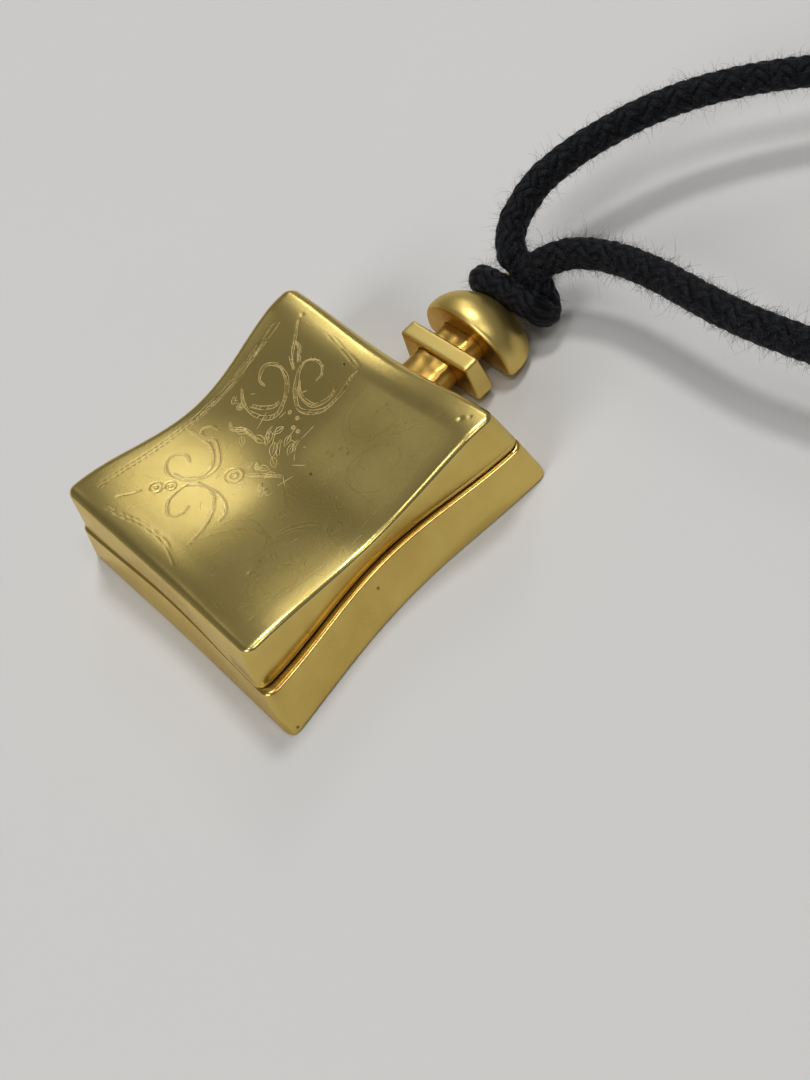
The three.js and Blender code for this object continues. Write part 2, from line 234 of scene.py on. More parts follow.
def flatRing(x, y, radius, count):
    turn = np.linspace(0, 2 * np.pi, count)
    return np.stack([x + radius * np.cos(turn), y + radius * np.sin(turn)], -1)


# The way ahead at each point, and a side direction that turns as little as possible from one to the next
def framesOf(line):
    ahead = unit(np.gradient(line, axis=0))
    side = np.zeros_like(line)
    side[0] = unit(np.cross(ahead[0], (0.0, 0.0, 1.0)))
    for k in range(1, len(line)):
        side[k] = unit(side[k - 1] - ahead[k] * (side[k - 1] @ ahead[k]))
    return ahead, side, np.cross(side, ahead)


# Unit circles in the planes that side and up span
def circles(side, up, angle):
    return side[:, None] * np.cos(angle)[:, None] + up[:, None] * np.sin(angle)[:, None]


# Shader nodes

def newGroup(name, inputs, outputs):
    group = bpy.data.node_groups.new(name, "ShaderNodeTree")
    for label, kind, value in inputs:
        socket = group.interface.new_socket(label, in_out="INPUT", socket_type="NodeSocket" + kind)
        if value is not None:
            socket.default_value = value
    for label in outputs:
        group.interface.new_socket(label, in_out="OUTPUT", socket_type="NodeSocketFloat")
    return group, group.nodes.new("NodeGroupInput"), group.nodes.new("NodeGroupOutput")


def feed(tree, socket, value):
    if isinstance(value, bpy.types.NodeSocket):
        tree.links.new(value, socket)
    else:
        socket.default_value = value


# Inputs are given by name, with _ for a space, or by place as i0, i2 and so on
def addNode(tree, kind, settings=None, **inputs):
    node = tree.nodes.new("ShaderNode" + kind)
    for key, value in (settings or {}).items():
        setattr(node, key, value)
    for key, value in inputs.items():
        byPlace = key[0] == "i" and key[1:].isdigit()
        feed(tree, node.inputs[int(key[1:])] if byPlace else node.inputs[key.replace("_", " ")], value)
    return node


def math2(tree, operation, a, b=0.0):
    return addNode(tree, "Math", {"operation": operation}, i0=a, i1=b).outputs[0]


def mixColour(tree, share, a, b):
    return addNode(tree, "Mix", {"data_type": "RGBA"}, i0=share, i6=a, i7=b).outputs[2]


def mixValue(tree, share, a, b):
    return addNode(tree, "Mix", {"data_type": "FLOAT"}, i0=share, i2=a, i3=b).outputs[0]


def noise(tree, place, scale, detail, roughness=0.5):
    return addNode(tree, "TexNoise", Vector=place, Scale=scale, Detail=detail, Roughness=roughness).outputs["Fac"]


def spread(tree, value, low, high, toLow=0.0, toHigh=1.0):
    return addNode(tree, "MapRange", {"interpolation_type": "SMOOTHSTEP"}, Value=value, From_Min=low, From_Max=high,
                   To_Min=toLow, To_Max=toHigh).outputs["Result"]


def newMaterial(name, settings):
    material = bpy.data.materials.new(name)
    material.use_nodes = True
    tree = material.node_tree
    shader = tree.nodes["Principled BSDF"]
    for key, value in settings.items():
        shader.inputs[key].default_value = value
    return material, tree, shader, addNode(tree, "TexCoord").outputs["Object"]


def connect(tree, shader, tone, rough, height=None, strength=0.0, distance=0.0):
    tree.links.new(tone, shader.inputs["Base Color"])
    tree.links.new(rough, shader.inputs["Roughness"])
    if height is not None:
        relief = addNode(tree, "Bump", Strength=strength, Distance=distance, Height=height)
        tree.links.new(relief.outputs[0], shader.inputs["Normal"])


# Fine hand wear on plated metal: a cloudy blur of tone, short scratches lying three ways, and a few pits
def makeWearGroup():
    tree, start, end = newGroup("plateWear", [
        ("Vector", "Vector", None), ("Scratches", "Float", 1.0), ("Pits", "Float", 1.0),
    ], ("Cloud", "Scratch", "Pit", "Height"))
    vector = start.outputs["Vector"]
    cloud = noise(tree, vector, 170.0, 3.0, 0.55)
    grain = noise(tree, vector, 5200.0, 2.0, 0.6)
    total = 0.0
    for turn, stretch in ((0.35, 1.0), (1.25, 1.25), (2.3, 0.8)):
        placed = addNode(tree, "Mapping", Vector=vector, Rotation=(0, 0, turn),
                         Scale=(260.0 * stretch, 5200.0 * stretch, 900.0)).outputs[0]
        total = math2(tree, "MAXIMUM", total, spread(tree, noise(tree, placed, 1.0, 1.0, 0.4), 0.73, 0.79))
    scratch = math2(tree, "MULTIPLY", total, start.outputs["Scratches"])
    cells = addNode(tree, "TexVoronoi", Vector=vector, Scale=420.0)
    near = spread(tree, cells.outputs["Distance"], 0.035, 0.09, 1.0, 0.0)
    chosen = addNode(tree, "SeparateColor", Color=cells.outputs["Color"]).outputs[0]
    pit = math2(tree, "MULTIPLY", near, math2(tree, "GREATER_THAN", chosen, 0.86))
    pit = math2(tree, "MULTIPLY", pit, start.outputs["Pits"])
    height = math2(tree, "MULTIPLY", grain, 0.45)
    height = math2(tree, "SUBTRACT", height, math2(tree, "MULTIPLY", scratch, 0.5))
    height = math2(tree, "SUBTRACT", height, pit)
    for label, value in (("Cloud", cloud), ("Scratch", scratch), ("Pit", pit), ("Height", height)):
        tree.links.new(value, end.inputs[label])
    return tree


wearGroup = makeWearGroup()


def addWear(tree, place, scratches, pits):
    return addNode(tree, "Group", {"node_tree": wearGroup}, Vector=place, Scratches=scratches, Pits=pits).outputs


# Plated gold, from bright to satin. Engraved lines are rougher and painted lighter, with painted shade on their
# shoulders.
def goldMaterial(name, colour, deep, roughness, scratches=1.0, pits=1.0, bump=0.35, engraved=False):
    material, tree, shader, place = newMaterial(name, {"Metallic": 1.0, "Specular Tint": (1.0, 0.93, 0.72, 1.0)})
    wear = addWear(tree, place, scratches, pits)
    tone = mixColour(tree, spread(tree, wear["Cloud"], 0.35, 0.7), colour + (1,), deep + (1,))
    tone = mixColour(tree, wear["Pit"], tone, tuple(0.3 * c for c in deep) + (1,))
    cloudy = math2(tree, "MULTIPLY", math2(tree, "SUBTRACT", wear["Cloud"], 0.5), 0.12)
    rough = math2(tree, "ADD", roughness, cloudy)
    rough = math2(tree, "SUBTRACT", rough, math2(tree, "MULTIPLY", wear["Scratch"], roughness * 0.35))
    if engraved:
        cut = addNode(tree, "Attribute", {"attribute_name": "engraving"}).outputs["Fac"]
        line = spread(tree, cut, 0.1, 0.8)
        # painted shade: beside each cut the gold is darkened, as if the cut's sides fell into shade
        shoulderShade = math2(tree, "SUBTRACT", spread(tree, cut, 0.04, 0.25), spread(tree, cut, 0.5, 0.9))
        tone = mixColour(tree, math2(tree, "MULTIPLY", shoulderShade, 0.6), tone, (0.36, 0.25, 0.07, 1))
        # painted light: the middle of each cut is mixed a fifth of the way towards a pale gold
        tone = mixColour(tree, math2(tree, "MULTIPLY", line, 0.2), tone, (0.82, 0.70, 0.36, 1))
        rough = math2(tree, "ADD", rough, math2(tree, "MULTIPLY", line, 0.14))
    connect(tree, shader, tone, rough, wear["Height"], bump, 0.00003)
    return material


satinGold = goldMaterial("satin_gold", (0.72, 0.56, 0.19), (0.64, 0.49, 0.155), 0.26, 0.2, bump=0.45, engraved=True)
# painted shade: a darker copy of the satin plate's gold, for the lid's walls and the base
wallShadedGold = goldMaterial("wall_painted_shade", (0.68, 0.51, 0.15), (0.60, 0.43, 0.115), 0.26)
# pale polished gold for the hinge and the bail, and on the base's rim strip a painted highlight
palePolishAndRimHighlight = goldMaterial("pale_polish_and_painted_rim_highlight", (0.86, 0.62, 0.21), (0.76, 0.50, 0.14), 0.2, 0.5, bump=0.5)
# the scratched lines in two copies of one gold: a pale one painted lit on the hinge half, a dark one painted in shade
# on the opening half
lineLitGold = goldMaterial("line_painted_light", (0.94, 0.80, 0.42), (0.80, 0.63, 0.27), 0.6, 0.0, 0.0)
lineShadedGold = goldMaterial("line_painted_shade", (0.46, 0.34, 0.12), (0.36, 0.25, 0.08), 0.5, 0.0, 0.0)
# painted shade: a dark copy of the gold for the ledge and its groove under the lid's edge
ledgeShadedGold = goldMaterial("ledge_painted_shade", (0.58, 0.40, 0.12), (0.48, 0.30, 0.08), 0.3, 0.5, bump=0.5)
trayGold = goldMaterial("tray_gold", (0.80, 0.60, 0.22), (0.70, 0.51, 0.17), 0.24, 1.6, 0.6)
neckGold = goldMaterial("neck_gold", (0.76, 0.58, 0.19), (0.69, 0.50, 0.15), 0.38, 0.6)
# painted shade: a deeper orange copy of the gold for the post and the faces between the parts
recessShadedGold = goldMaterial("recess_painted_shade", (0.66, 0.41, 0.10), (0.52, 0.29, 0.06), 0.33, 0.6)


def nickelMaterial():
    material, tree, shader, place = newMaterial("magnet_nickel", {"Metallic": 1.0})
    wear = addWear(tree, place, 0.8, 0.4)
    tone = mixColour(tree, wear["Cloud"], (0.60, 0.59, 0.56, 1), (0.48, 0.47, 0.45, 1))
    connect(tree, shader, tone, spread(tree, wear["Cloud"], 0.2, 0.8, 0.22, 0.36), wear["Height"], 0.3, 0.00002)
    return material


magnetNickel = nickelMaterial()
print("metals mixed")

braid = {
    "strands": 8,            # each way round
    "pitch": 1.25,           # mm along the cord for one strand's width
    "relief": 0.24,          # mm
}


# Braided cotton: two families of strands wind opposite ways, each passing over two and under two of the other.
# The height is a sine arch across a strand times a slower sine arch along the two strands that it passes over.
def makeBraidGroup():
    tree, start, end = newGroup("braidPattern", [
        ("UV", "Vector", None), ("Strands", "Float", 8.0), ("Pitch", "Float", 1.1),
    ], ("Height", "Gap", "Fibre"))

    def calc(operation, a, b=0.0):
        return math2(tree, operation, a, b)

    def sineOf(value, share):
        return calc("SINE", calc("MULTIPLY", value, math.pi * share))

    def arch(over, under):
        return calc("MULTIPLY", calc("POWER", over, 0.55), calc("ADD", calc("MULTIPLY", under, 0.55), 0.45))

    parts = addNode(tree, "SeparateXYZ", Vector=start.outputs["UV"]).outputs
    turn = calc("MULTIPLY", parts[0], start.outputs["Strands"])
    run = calc("DIVIDE", parts[1], start.outputs["Pitch"])
    one, two = calc("ADD", turn, run), calc("SUBTRACT", turn, run)
    across, along = calc("FRACT", one), calc("FRACT", two)
    cells = calc("FLOORED_MODULO", calc("SUBTRACT", calc("FLOOR", one), calc("FLOOR", two)), 4.0)
    onTop = calc("GREATER_THAN", cells, 1.5)
    firstFloat = sineOf(calc("ADD", along, calc("SUBTRACT", 1.0, cells)), 0.5)
    secondFloat = sineOf(calc("ADD", across, calc("SUBTRACT", cells, 2.0)), 0.5)
    height = mixValue(tree, onTop, arch(sineOf(across, 1.0), firstFloat), arch(sineOf(along, 1.0), secondFloat))
    aim, other = mixValue(tree, onTop, one, two), mixValue(tree, onTop, two, one)
    grain = addNode(tree, "CombineXYZ", X=calc("MULTIPLY", aim, 9.0), Y=calc("MULTIPLY", other, 1.4), Z=cells)
    fibre = noise(tree, grain.outputs[0], 1.0, 2.0, 0.6)
    # painted shade: 1 where the braid is low between the strands, to darken the colour there
    gapShade = spread(tree, height, 0.35, 0.85, 1.0, 0.0)
    for label, value in (("Height", height), ("Gap", gapShade), ("Fibre", fibre)):
        tree.links.new(value, end.inputs[label])
    return tree


def cordMaterial():
    material, tree, shader, place = newMaterial("waxed_cord", {
        "Sheen Weight": 0.02, "Sheen Roughness": 0.5, "Sheen Tint": (0.6, 0.65, 0.75, 1), "Specular IOR Level": 0.14,
    })
    uv = addNode(tree, "UVMap", {"uv_map": "UVMap"}).outputs[0]
    weave = addNode(tree, "Group", {"node_tree": makeBraidGroup()}, UV=uv, Strands=float(braid["strands"]),
                    Pitch=braid["pitch"]).outputs
    dust = noise(tree, place, 300.0, 3.0, 0.6)
    # light fibre streaks on dark ones: fibre grain, lightened into painted glints along the strands
    fibre = spread(tree, weave["Fibre"], 0.4, 0.72)
    tone = mixColour(tree, fibre, (0.0016, 0.002, 0.0035, 1), (0.0125, 0.015, 0.0205, 1))
    tone = mixColour(tree, spread(tree, dust, 0.55, 0.8, 0.0, 0.25), tone, (0.020, 0.022, 0.026, 1))
    # painted shade between the strands
    tone = mixColour(tree, weave["Gap"], tone, (0.0008, 0.0009, 0.0016, 1))
    height = math2(tree, "ADD", weave["Height"], math2(tree, "MULTIPLY", weave["Fibre"], 0.4))
    connect(tree, shader, tone, spread(tree, weave["Fibre"], 0.3, 0.7, 0.34, 0.7), height, 1.0, 0.00018)
    return material


def lintMaterial():
    material, tree, shader, place = newMaterial("cord_lint", {"Sheen Weight": 0.12})
    shift = noise(tree, place, 900.0, 1.0)
    tone = mixColour(tree, spread(tree, shift, 0.4, 0.65), (0.004, 0.0045, 0.006, 1), (0.022, 0.024, 0.029, 1))
    connect(tree, shader, tone, spread(tree, shift, 0.3, 0.7, 0.55, 0.8))
    return material


waxedCord = cordMaterial()
cordLint = lintMaterial()


# The cord

cords = {
    "diameter": 3.0,         # mm
    "hitchDiameter": 2.85,
    "knotDiameter": 2.8,
    "upperRun": [
        (-0.2, 29.3, 4.7), (-0.9, 30.3, 5.4), (-1.9, 31.3, 6.0), (-2.8, 32.9, 6.6), (-3.2, 35.1, 7.2),
        (-3.4, 37.4, 7.6), (-3.0, 39.8, 7.9), (-2.4, 42.6, 8.0), (-1.4, 45.6, 8.0), (-0.2, 48.5, 8.0),
        (1.4, 51.4, 7.9), (3.4, 54.1, 7.8), (5.8, 56.8, 7.6), (8.2, 59.0, 7.4), (10.1, 60.6, 7.2), (14.4, 64.4, 6.8),
        (18.8, 68.3, 5.8), (23.1, 72.4, 4.4), (27.3, 76.4, 3.1), (31.5, 80.6, 2.1), (35.6, 84.8, 1.6),
        (39.6, 89.0, 1.5),
    ],
    "lowerRun": [
        (0.9, 29.3, 4.35), (1.7, 30.1, 5.0), (2.8, 31.0, 5.8), (4.7, 32.6, 6.4), (7.3, 33.6, 6.8), (10.3, 34.1, 7.1),
        (13.8, 34.2, 7.4), (17.2, 34.1, 7.5), (20.6, 33.9, 7.6), (23.5, 33.9, 7.6), (26.2, 34.1, 7.5),
        (30.6, 34.7, 7.3), (36.4, 35.7, 6.9), (42.2, 36.8, 5.9), (47.9, 38.0, 4.5), (53.6, 39.4, 3.1),
        (59.3, 41.0, 2.1), (64.9, 42.8, 1.6), (70.5, 44.7, 1.5),
    ],
    "hitch": [
        (-1.2, 30.9, 6.0), (-0.9, 30.4, 5.3), (-0.6, 30.7, 4.2), (-0.2, 30.9, 2.6), (-0.9, 30.5, 1.2),
        (-2.2, 29.6, 1.0), (-3.2, 28.7, 1.4), (-3.5, 28.0, 2.6), (-3.0, 27.6, 3.7), (-1.8, 27.5, 4.05), (0.6, 27.5, 4.05),
        (2.9, 27.5, 4.0), (4.1, 27.7, 3.5), (4.4, 28.2, 2.5), (4.0, 28.9, 2.1), (3.4, 29.4, 2.9),
        (2.7, 29.8, 4.0), (2.3, 30.3, 4.9), (2.2, 30.8, 5.6),
    ],
    "upperCoil": (24.6, 103.0),
    "lowerCoil": (63.5, 64.0),
    "outerTurn": 20.5,
    "innerTurn": 11.5,
    "turns": 3,
    "lieHeight": 1.5,        # of the centre line where the cord lies on the floor
    "knot": (-6.4, 0, 2.64),     # from the coil's centre
    "lint": 24.0,            # hairs per mm of cord, on average
    "hitchLint": 1500,
    "nearLint": (0.88, 0.2),     # share of a run's hairs that stand on its first part, and that part's share
    "smoothLint": (0.15, 0.7, 3.6),      # least and most length in mm, and how rare the long ones are
    "fuzzyLint": (0.24, 0.68, 1.9),
    "hairRadius": 0.017,
    "tailSeed": 15,
    "hitchSeed": 47,
}


def knotPlace(centre):
    return np.array([centre[0], centre[1], 0.0]) + cords["knot"]


# A flat spiral that starts where the run ends and closes in by the same step each turn, then a cubic lead to the knot
def coilPoints(run, centre):
    angle = math.atan2(run[-1][1] - centre[1], run[-1][0] - centre[0])
    steps, low = 24 * cords["turns"], cords["lieHeight"]
    t = np.linspace(0, 1, steps + 1)[1:]
    radius = lerp(cords["outerTurn"], cords["innerTurn"], t)
    turn = angle + 2 * math.pi * cords["turns"] * t
    spiral = np.stack([centre[0] + radius * np.cos(turn), centre[1] + radius * np.sin(turn), np.full(steps, low)], -1)
    last, knot, reach = spiral[-1], knotPlace(centre), 7.0
    leave, arrive = last + unit(last - spiral[-2]) * reach, knot + (reach, 0.3, 0)
    s = np.array([0.2, 0.4, 0.6, 0.78, 0.93])[:, None]
    lead = (1 - s) ** 3 * last + 3 * s * (1 - s) ** 2 * leave + 3 * s ** 2 * (1 - s) * arrive + s ** 3 * knot
    lead[:, 2] = lerp(low, 2.3, smooth(s[:, 0]))
    return np.vstack([run, spiral, lead])


# The same two arches as in the cord's material, at each turn and length
def braidHeight(turn, lengths):
    one = turn[None] * braid["strands"] + lengths[:, None] / braid["pitch"]
    two = turn[None] * braid["strands"] - lengths[:, None] / braid["pitch"]
    across, along = one % 1, two % 1
    cells = (np.floor(one) - np.floor(two)) % 4
    first = np.sin(np.pi * across) ** 0.55 * (0.45 + 0.55 * np.sin(np.pi * (along + 1 - cells) / 2))
    second = np.sin(np.pi * along) ** 0.55 * (0.45 + 0.55 * np.sin(np.pi * (across + cells - 2) / 2))
    return np.where(cells < 1.5, first, second)


# Half the thickness, less where the braid is low
def braidRadius(diameter, turn, lengths):
    return diameter / 2 - braid["relief"] * (1 - braidHeight(turn, lengths)) * 0.8


# UV of a tube's quads: turns round the cord, and mm along it
def tubeUv(starts, ends, sides, startTurn=0.0):
    j = np.arange(sides)
    column = np.tile(np.stack([j, j + 1, j + 1, j], -1), (len(starts), 1)) / sides + startTurn
    return np.stack([column, np.stack([starts, starts, ends, ends], -1).repeat(sides, axis=0)], -1)


# Circles round a line with the braid's radius; a free start is rounded off like a ball
def braidedTube(points, diameter, step, sides=36, startTurn=0.0, ball=0.0):
    line, lengths = alongPath(points, step)
    ahead, side, up = framesOf(line)
    turn = np.arange(sides) / sides
    radius = braidRadius(diameter, turn + startTurn, lengths)
    if ball:
        t = np.clip(lengths / ball, 0.02, 1)
        radius = radius * np.sqrt(1 - (1 - t) ** 2)[:, None]
    body = line[:, None] + circles(side, up, 2 * np.pi * turn) * radius[..., None]
    startTip = line[0] - ahead[0] * (0.02 if ball else 0.4)
    tube, faceSets = cappedStack(body, startTip, line[-1] + ahead[-1] * 0.4)
    tube[:, 2] = np.maximum(tube[:, 2], 0.02)
    uvSets = [tubeUv(lengths[:-1], lengths[1:], sides, startTurn), np.zeros((sides, 3, 2)),
              np.tile([0.0, lengths[-1]], (sides, 3, 1))]
    return tube, faceSets, uvSets, line


# Short curled hairs: each starts just under the cord's surface and leaves it at a random lean
def lintOn(line, diameter, count, rng, lengths, near=None):
    ahead, side, up = framesOf(line)
    if near:
        where = np.where(rng.random(count) < near[0], rng.random(count) * near[1], rng.random(count))
    else:
        where = rng.random(count)
    index = np.minimum((where * (len(line) - 1)).astype(int), len(line) - 2)
    angle = (rng.random(count) * 2 * np.pi)[:, None]
    out = side[index] * np.cos(angle) + up[index] * np.sin(angle)
    low, high, rare = lengths
    length = low + (high - low) * rng.random(count) ** rare
    lean = ahead[index] * rng.normal(0, 1.0, count)[:, None]
    lean = lean + np.cross(ahead[index], out) * rng.normal(0, 0.8, count)[:, None]
    first = unit(out + lean * 0.8)
    curl, back = rng.normal(0, 1, (count, 3)) * 2.2, rng.normal(0, 1, (count, 3)) * 2.0
    rows, sides = 4, 3
    t = np.linspace(0, 1, rows)
    s = t[:, None]
    bend = first[:, None] * s + curl[:, None] * s ** 2 * 0.5 + back[:, None] * (s ** 3 - s) * 0.5
    spine = (line[index] + out * (diameter / 2 - 0.1))[:, None] + length[:, None, None] * bend
    spine[..., 2] = np.maximum(spine[..., 2], 0.03)
    across = unit(np.cross(first, curl))
    ring = circles(across, np.cross(first, across), np.arange(sides) * 2 * np.pi / sides)
    thick = cords["hairRadius"] * (1 - 0.7 * t)
    points = spine[:, :, None] + ring[:, None] * thick[:, None, None]
    starts = (np.arange(count) * rows * sides)[:, None, None]
    last = (rows - 1) * sides
    lids = np.array([[0, 2, 1], [last, last + 1, last + 2]])
    quads = gridFaces(rows, sides, closeColumns=True)[None] + starts
    return points.reshape(-1, 3), [quads.reshape(-1, 4), (lids[None] + starts).reshape(-1, 3)]


def makeLint(name, line, diameter, count, rng, lengths, near=None):
    return makePiece(name, *lintOn(line, diameter, count, rng, lengths, near), "base", "waxed_cord", cordLint)


def makeCordPiece(name, points, faceSets, uvSets, nodes):
    if insideOut(points, faceSets):
        faceSets, uvSets = reverse(faceSets), reverse(uvSets)
    item = makePiece(name, points, faceSets, "base", "waxed_cord", waxedCord, nodes=nodes)
    layer = item.data.uv_layers.new(name="UVMap")
    layer.data.foreach_set("uv", np.concatenate([uv.ravel() for uv in uvSets]).astype(np.float32))
    return item


# A trefoil: a line that goes twice round a ring while it goes three times through it, inside its node's box
def makeKnot(name, centre, node):
    t = np.linspace(0, 2 * np.pi, 97)[:-1]
    radius = 1.3 + 0.55 * np.cos(3 * t)
    line = np.stack([radius * np.cos(2 * t), radius * np.sin(2 * t), 0.98 * np.sin(3 * t)], -1) + centre
    ahead = unit(np.roll(line, -1, 0) - np.roll(line, 1, 0))
    side = unit(np.cross(ahead, line - centre))
    sides = 28
    turn = np.arange(sides) / sides
    lengths = np.concatenate([[0], np.cumsum(np.linalg.norm(np.diff(line, axis=0), axis=1))])
    radius = braidRadius(cords["knotDiameter"], turn, lengths)
    points = line[:, None] + circles(side, np.cross(side, ahead), 2 * np.pi * turn) * radius[..., None]
    low, high = np.array(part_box(node)) / mm
    points = np.clip(points.reshape(-1, 3), low + 0.02, high - 0.02)
    uv = tubeUv(lengths, np.append(lengths[1:], lengths[-1] + 0.2), sides)
    faces = gridFaces(len(line), sides, closeRows=True, closeColumns=True)
    return makeCordPiece(name, points, [faces], [uv], (node,))


def makeTail(name, end, lint, extra=()):
    rng = np.random.default_rng(cords["tailSeed"])
    run, centre = cords[end + "Run"], cords[end + "Coil"]
    route = coilPoints(run, centre)
    points, faceSets, uvSets, line = braidedTube(route, cords["diameter"], 0.3, ball=1.4)
    tail = makeCordPiece(name, points, faceSets, uvSets, ("cord_tail_" + end, "cord_coil_" + end))
    knot = makeKnot(name + "Knot", knotPlace(centre), "cord_end_knot_" + end)
    length = np.linalg.norm(np.diff(line, axis=0), axis=1).sum()
    count = int(cords["lint"] * length)
    hair = makeLint(name + "Lint", line, cords["diameter"], count, rng, cords[lint], cords["nearLint"])
    print(name, "length", round(float(length), 1), "mm")


def makeHitch():
    rng = np.random.default_rng(cords["hitchSeed"])
    diameter = cords["hitchDiameter"]
    points, faceSets, uvSets, line = braidedTube(cords["hitch"], diameter, 0.22, startTurn=0.3)
    hitch = makeCordPiece("cordHitch", points, faceSets, uvSets, ("cord_hitch",))
    return hitch, makeLint("cordHitchLint", line, diameter, cords["hitchLint"], rng, cords["smoothLint"])


makeTail("cordUpper", "upper", "smoothLint", makeHitch())
makeTail("cordLower", "lower", "fuzzyLint")
print("cords laid")


# The block

block = {
    "foot": dict(halfX=16.0, halfY=16.2, side=1.0, end=0.1),      # mm, and how far each side and end draws in
    "seam": dict(halfX=15.2, halfY=15.45, side=1.65, end=0.43),
    "top": dict(halfX=14.6, halfY=14.4, side=1.0, end=0.1),
    "seamZ": 4.5,
    "lidZ": 4.65,
    "cornerZ": 9.7,
    "sideDip": 2.2,
    "endDip": 0.9,
    "neckRoll": 0.75,        # mm that the plate rolls down along the neck side
    "rollStart": 0.76,       # share of the way from the middle to the neck side
    "footFlare": 0.9,
    "ledge": (0.8, 0.3),     # at the foot end and at the neck end
    "corner": 1.15,          # radius of the upright corners
    "well": (11.0, 11.5),
    "wellCorner": 1.5,
}

lid = {
    "cells": 256,            # across the top
    "underCells": 64,
    "edgeIn": (1.0, 0.65),   # mm, how far in the rounded edge starts, on the hinge side and on the opening side
    "edgeDown": (0.6, 0.35),     # mm, how far down it ends
    "topCorner": 0.5,        # radius of the plate's corners
    "mouth": (15.2, 15.4),   # half sizes that an inset of the lower edge is measured against
    "roof": 1.0,             # mm of metal over the well
    "dish": 0.22,            # mm, how much deeper each quarter is worn
    "engraving": 0.028,      # mm deep
    "scribe": 0.42,          # mm above the lower edge
    "footStep": 0.3,         # mm that the lower edge stands in at the hinge corner of the foot
    "dents": [               # x, y, radius and depth
        (12.3, 12.4, 0.22, 0.07), (12.9, 13.0, 0.14, 0.04), (-10.4, 12.6, 0.2, 0.03), (7.5, -9.0, 0.16, 0.03),
        (4.4, 10.2, 0.12, 0.03),
    ],
}


# The dips of the sides and ends, and a roll down over the last part of the neck side that is fullest mid-side
def topHeight(u, v):
    rolled = np.clip((v - block["rollStart"]) / (1 - block["rollStart"]), 0, 1) ** 1.6
    roll = block["neckRoll"] * rolled * (0.45 + 0.55 * hollow(u))
    return block["cornerZ"] - block["sideDip"] * hollow(v) - block["endDip"] * hollow(u) - roll


# u and v run from -1 to 1 across the block and w from 0 to 1 between two outlines whose sides draw in mid-way
def blockPoint(u, v, w, lower, upper):
    halfX = lerp(lower["halfX"], upper["halfX"], w) - lerp(lower["side"], upper["side"], w) * hollow(v)
    halfY = lerp(lower["halfY"], upper["halfY"], w) - lerp(lower["end"], upper["end"], w) * hollow(u)
    return u * halfX, v * halfY, halfX, halfY


# Near a corner a point moves along the line to the corner's centre until squares become circles
def roundCorners(x, y, halfX, halfY, radius):
    qx, qy = np.abs(x) - (halfX - radius), np.abs(y) - (halfY - radius)
    inside = (qx > 0) & (qy > 0)
    far = np.where(inside, np.hypot(qx, qy), 1.0)
    share = np.where(inside, np.maximum(qx, qy) / np.maximum(far, 1e-9), 1.0)
    x = np.where(inside, np.sign(x) * (halfX - radius + qx * share), x)
    y = np.where(inside, np.sign(y) * (halfY - radius + qy * share), y)
    return x, y


# A rounded rectangle with the same margin all round
def grown(u, v, half, corner, margin):
    halfX, halfY = half[0] + margin, half[1] + margin
    return roundCorners(u * halfX, v * halfY, halfX, halfY, max(corner + margin, 0.5))


def wellOutline(u, v, margin):
    return grown(u, v, block["well"], block["wellCorner"], margin)


# How far the lid stands in from the base on the opening side: even from foot to neck, and growing with u
def ledgeDepth(u, v):
    return np.maximum(u, 0) * lerp(block["ledge"][0], block["ledge"][1], (v + 1) / 2)


# Round a square's edge from its low corner, counter-clockwise, n cells a side; ease draws cells towards the corners
def squareRing(n, ease=0.0):
    t = np.linspace(-1, 1, n + 1)
    t = lerp(t, np.sin(np.pi * t / 2), ease)
    u = np.concatenate([t[:-1], np.ones(n), -t[:-1], -np.ones(n)])
    return u, np.concatenate([-np.ones(n), t[:-1], np.ones(n), -t[:-1]])


def squareGrid(n):
    t = np.linspace(-1, 1, n + 1)
    u, v = np.meshgrid(t, t)
    return u.ravel(), v.ravel()


# The points of a square grid that lie on its edge, in squareRing's order
def gridEdge(n):
    i = np.arange((n + 1) ** 2).reshape(n + 1, n + 1)
    return np.concatenate([i[0, :-1], i[:-1, -1], i[-1, :0:-1], i[:0:-1, 0]])


def ringFaces(one, two):
    return np.stack([one, np.roll(one, -1), np.roll(two, -1), two], -1)


# Four cells of a fine ring to one of a coarse ring
def fineToCoarse(fine, coarse):
    f = fine.reshape(-1, 4)
    last, c, d = np.roll(f[:, 0], -1), coarse, np.roll(coarse, -1)
    tris = [(f[:, 0], f[:, 1], c), (f[:, 1], f[:, 2], c), (f[:, 2], d, c), (f[:, 2], f[:, 3], d), (f[:, 3], last, d)]
    return np.concatenate([np.stack(t, -1) for t in tris])


def paint(item, materials, index):
    for material in materials:
        item.data.materials.append(material)
    item.data.polygons.foreach_set("material_index", np.asarray(index, np.int32))


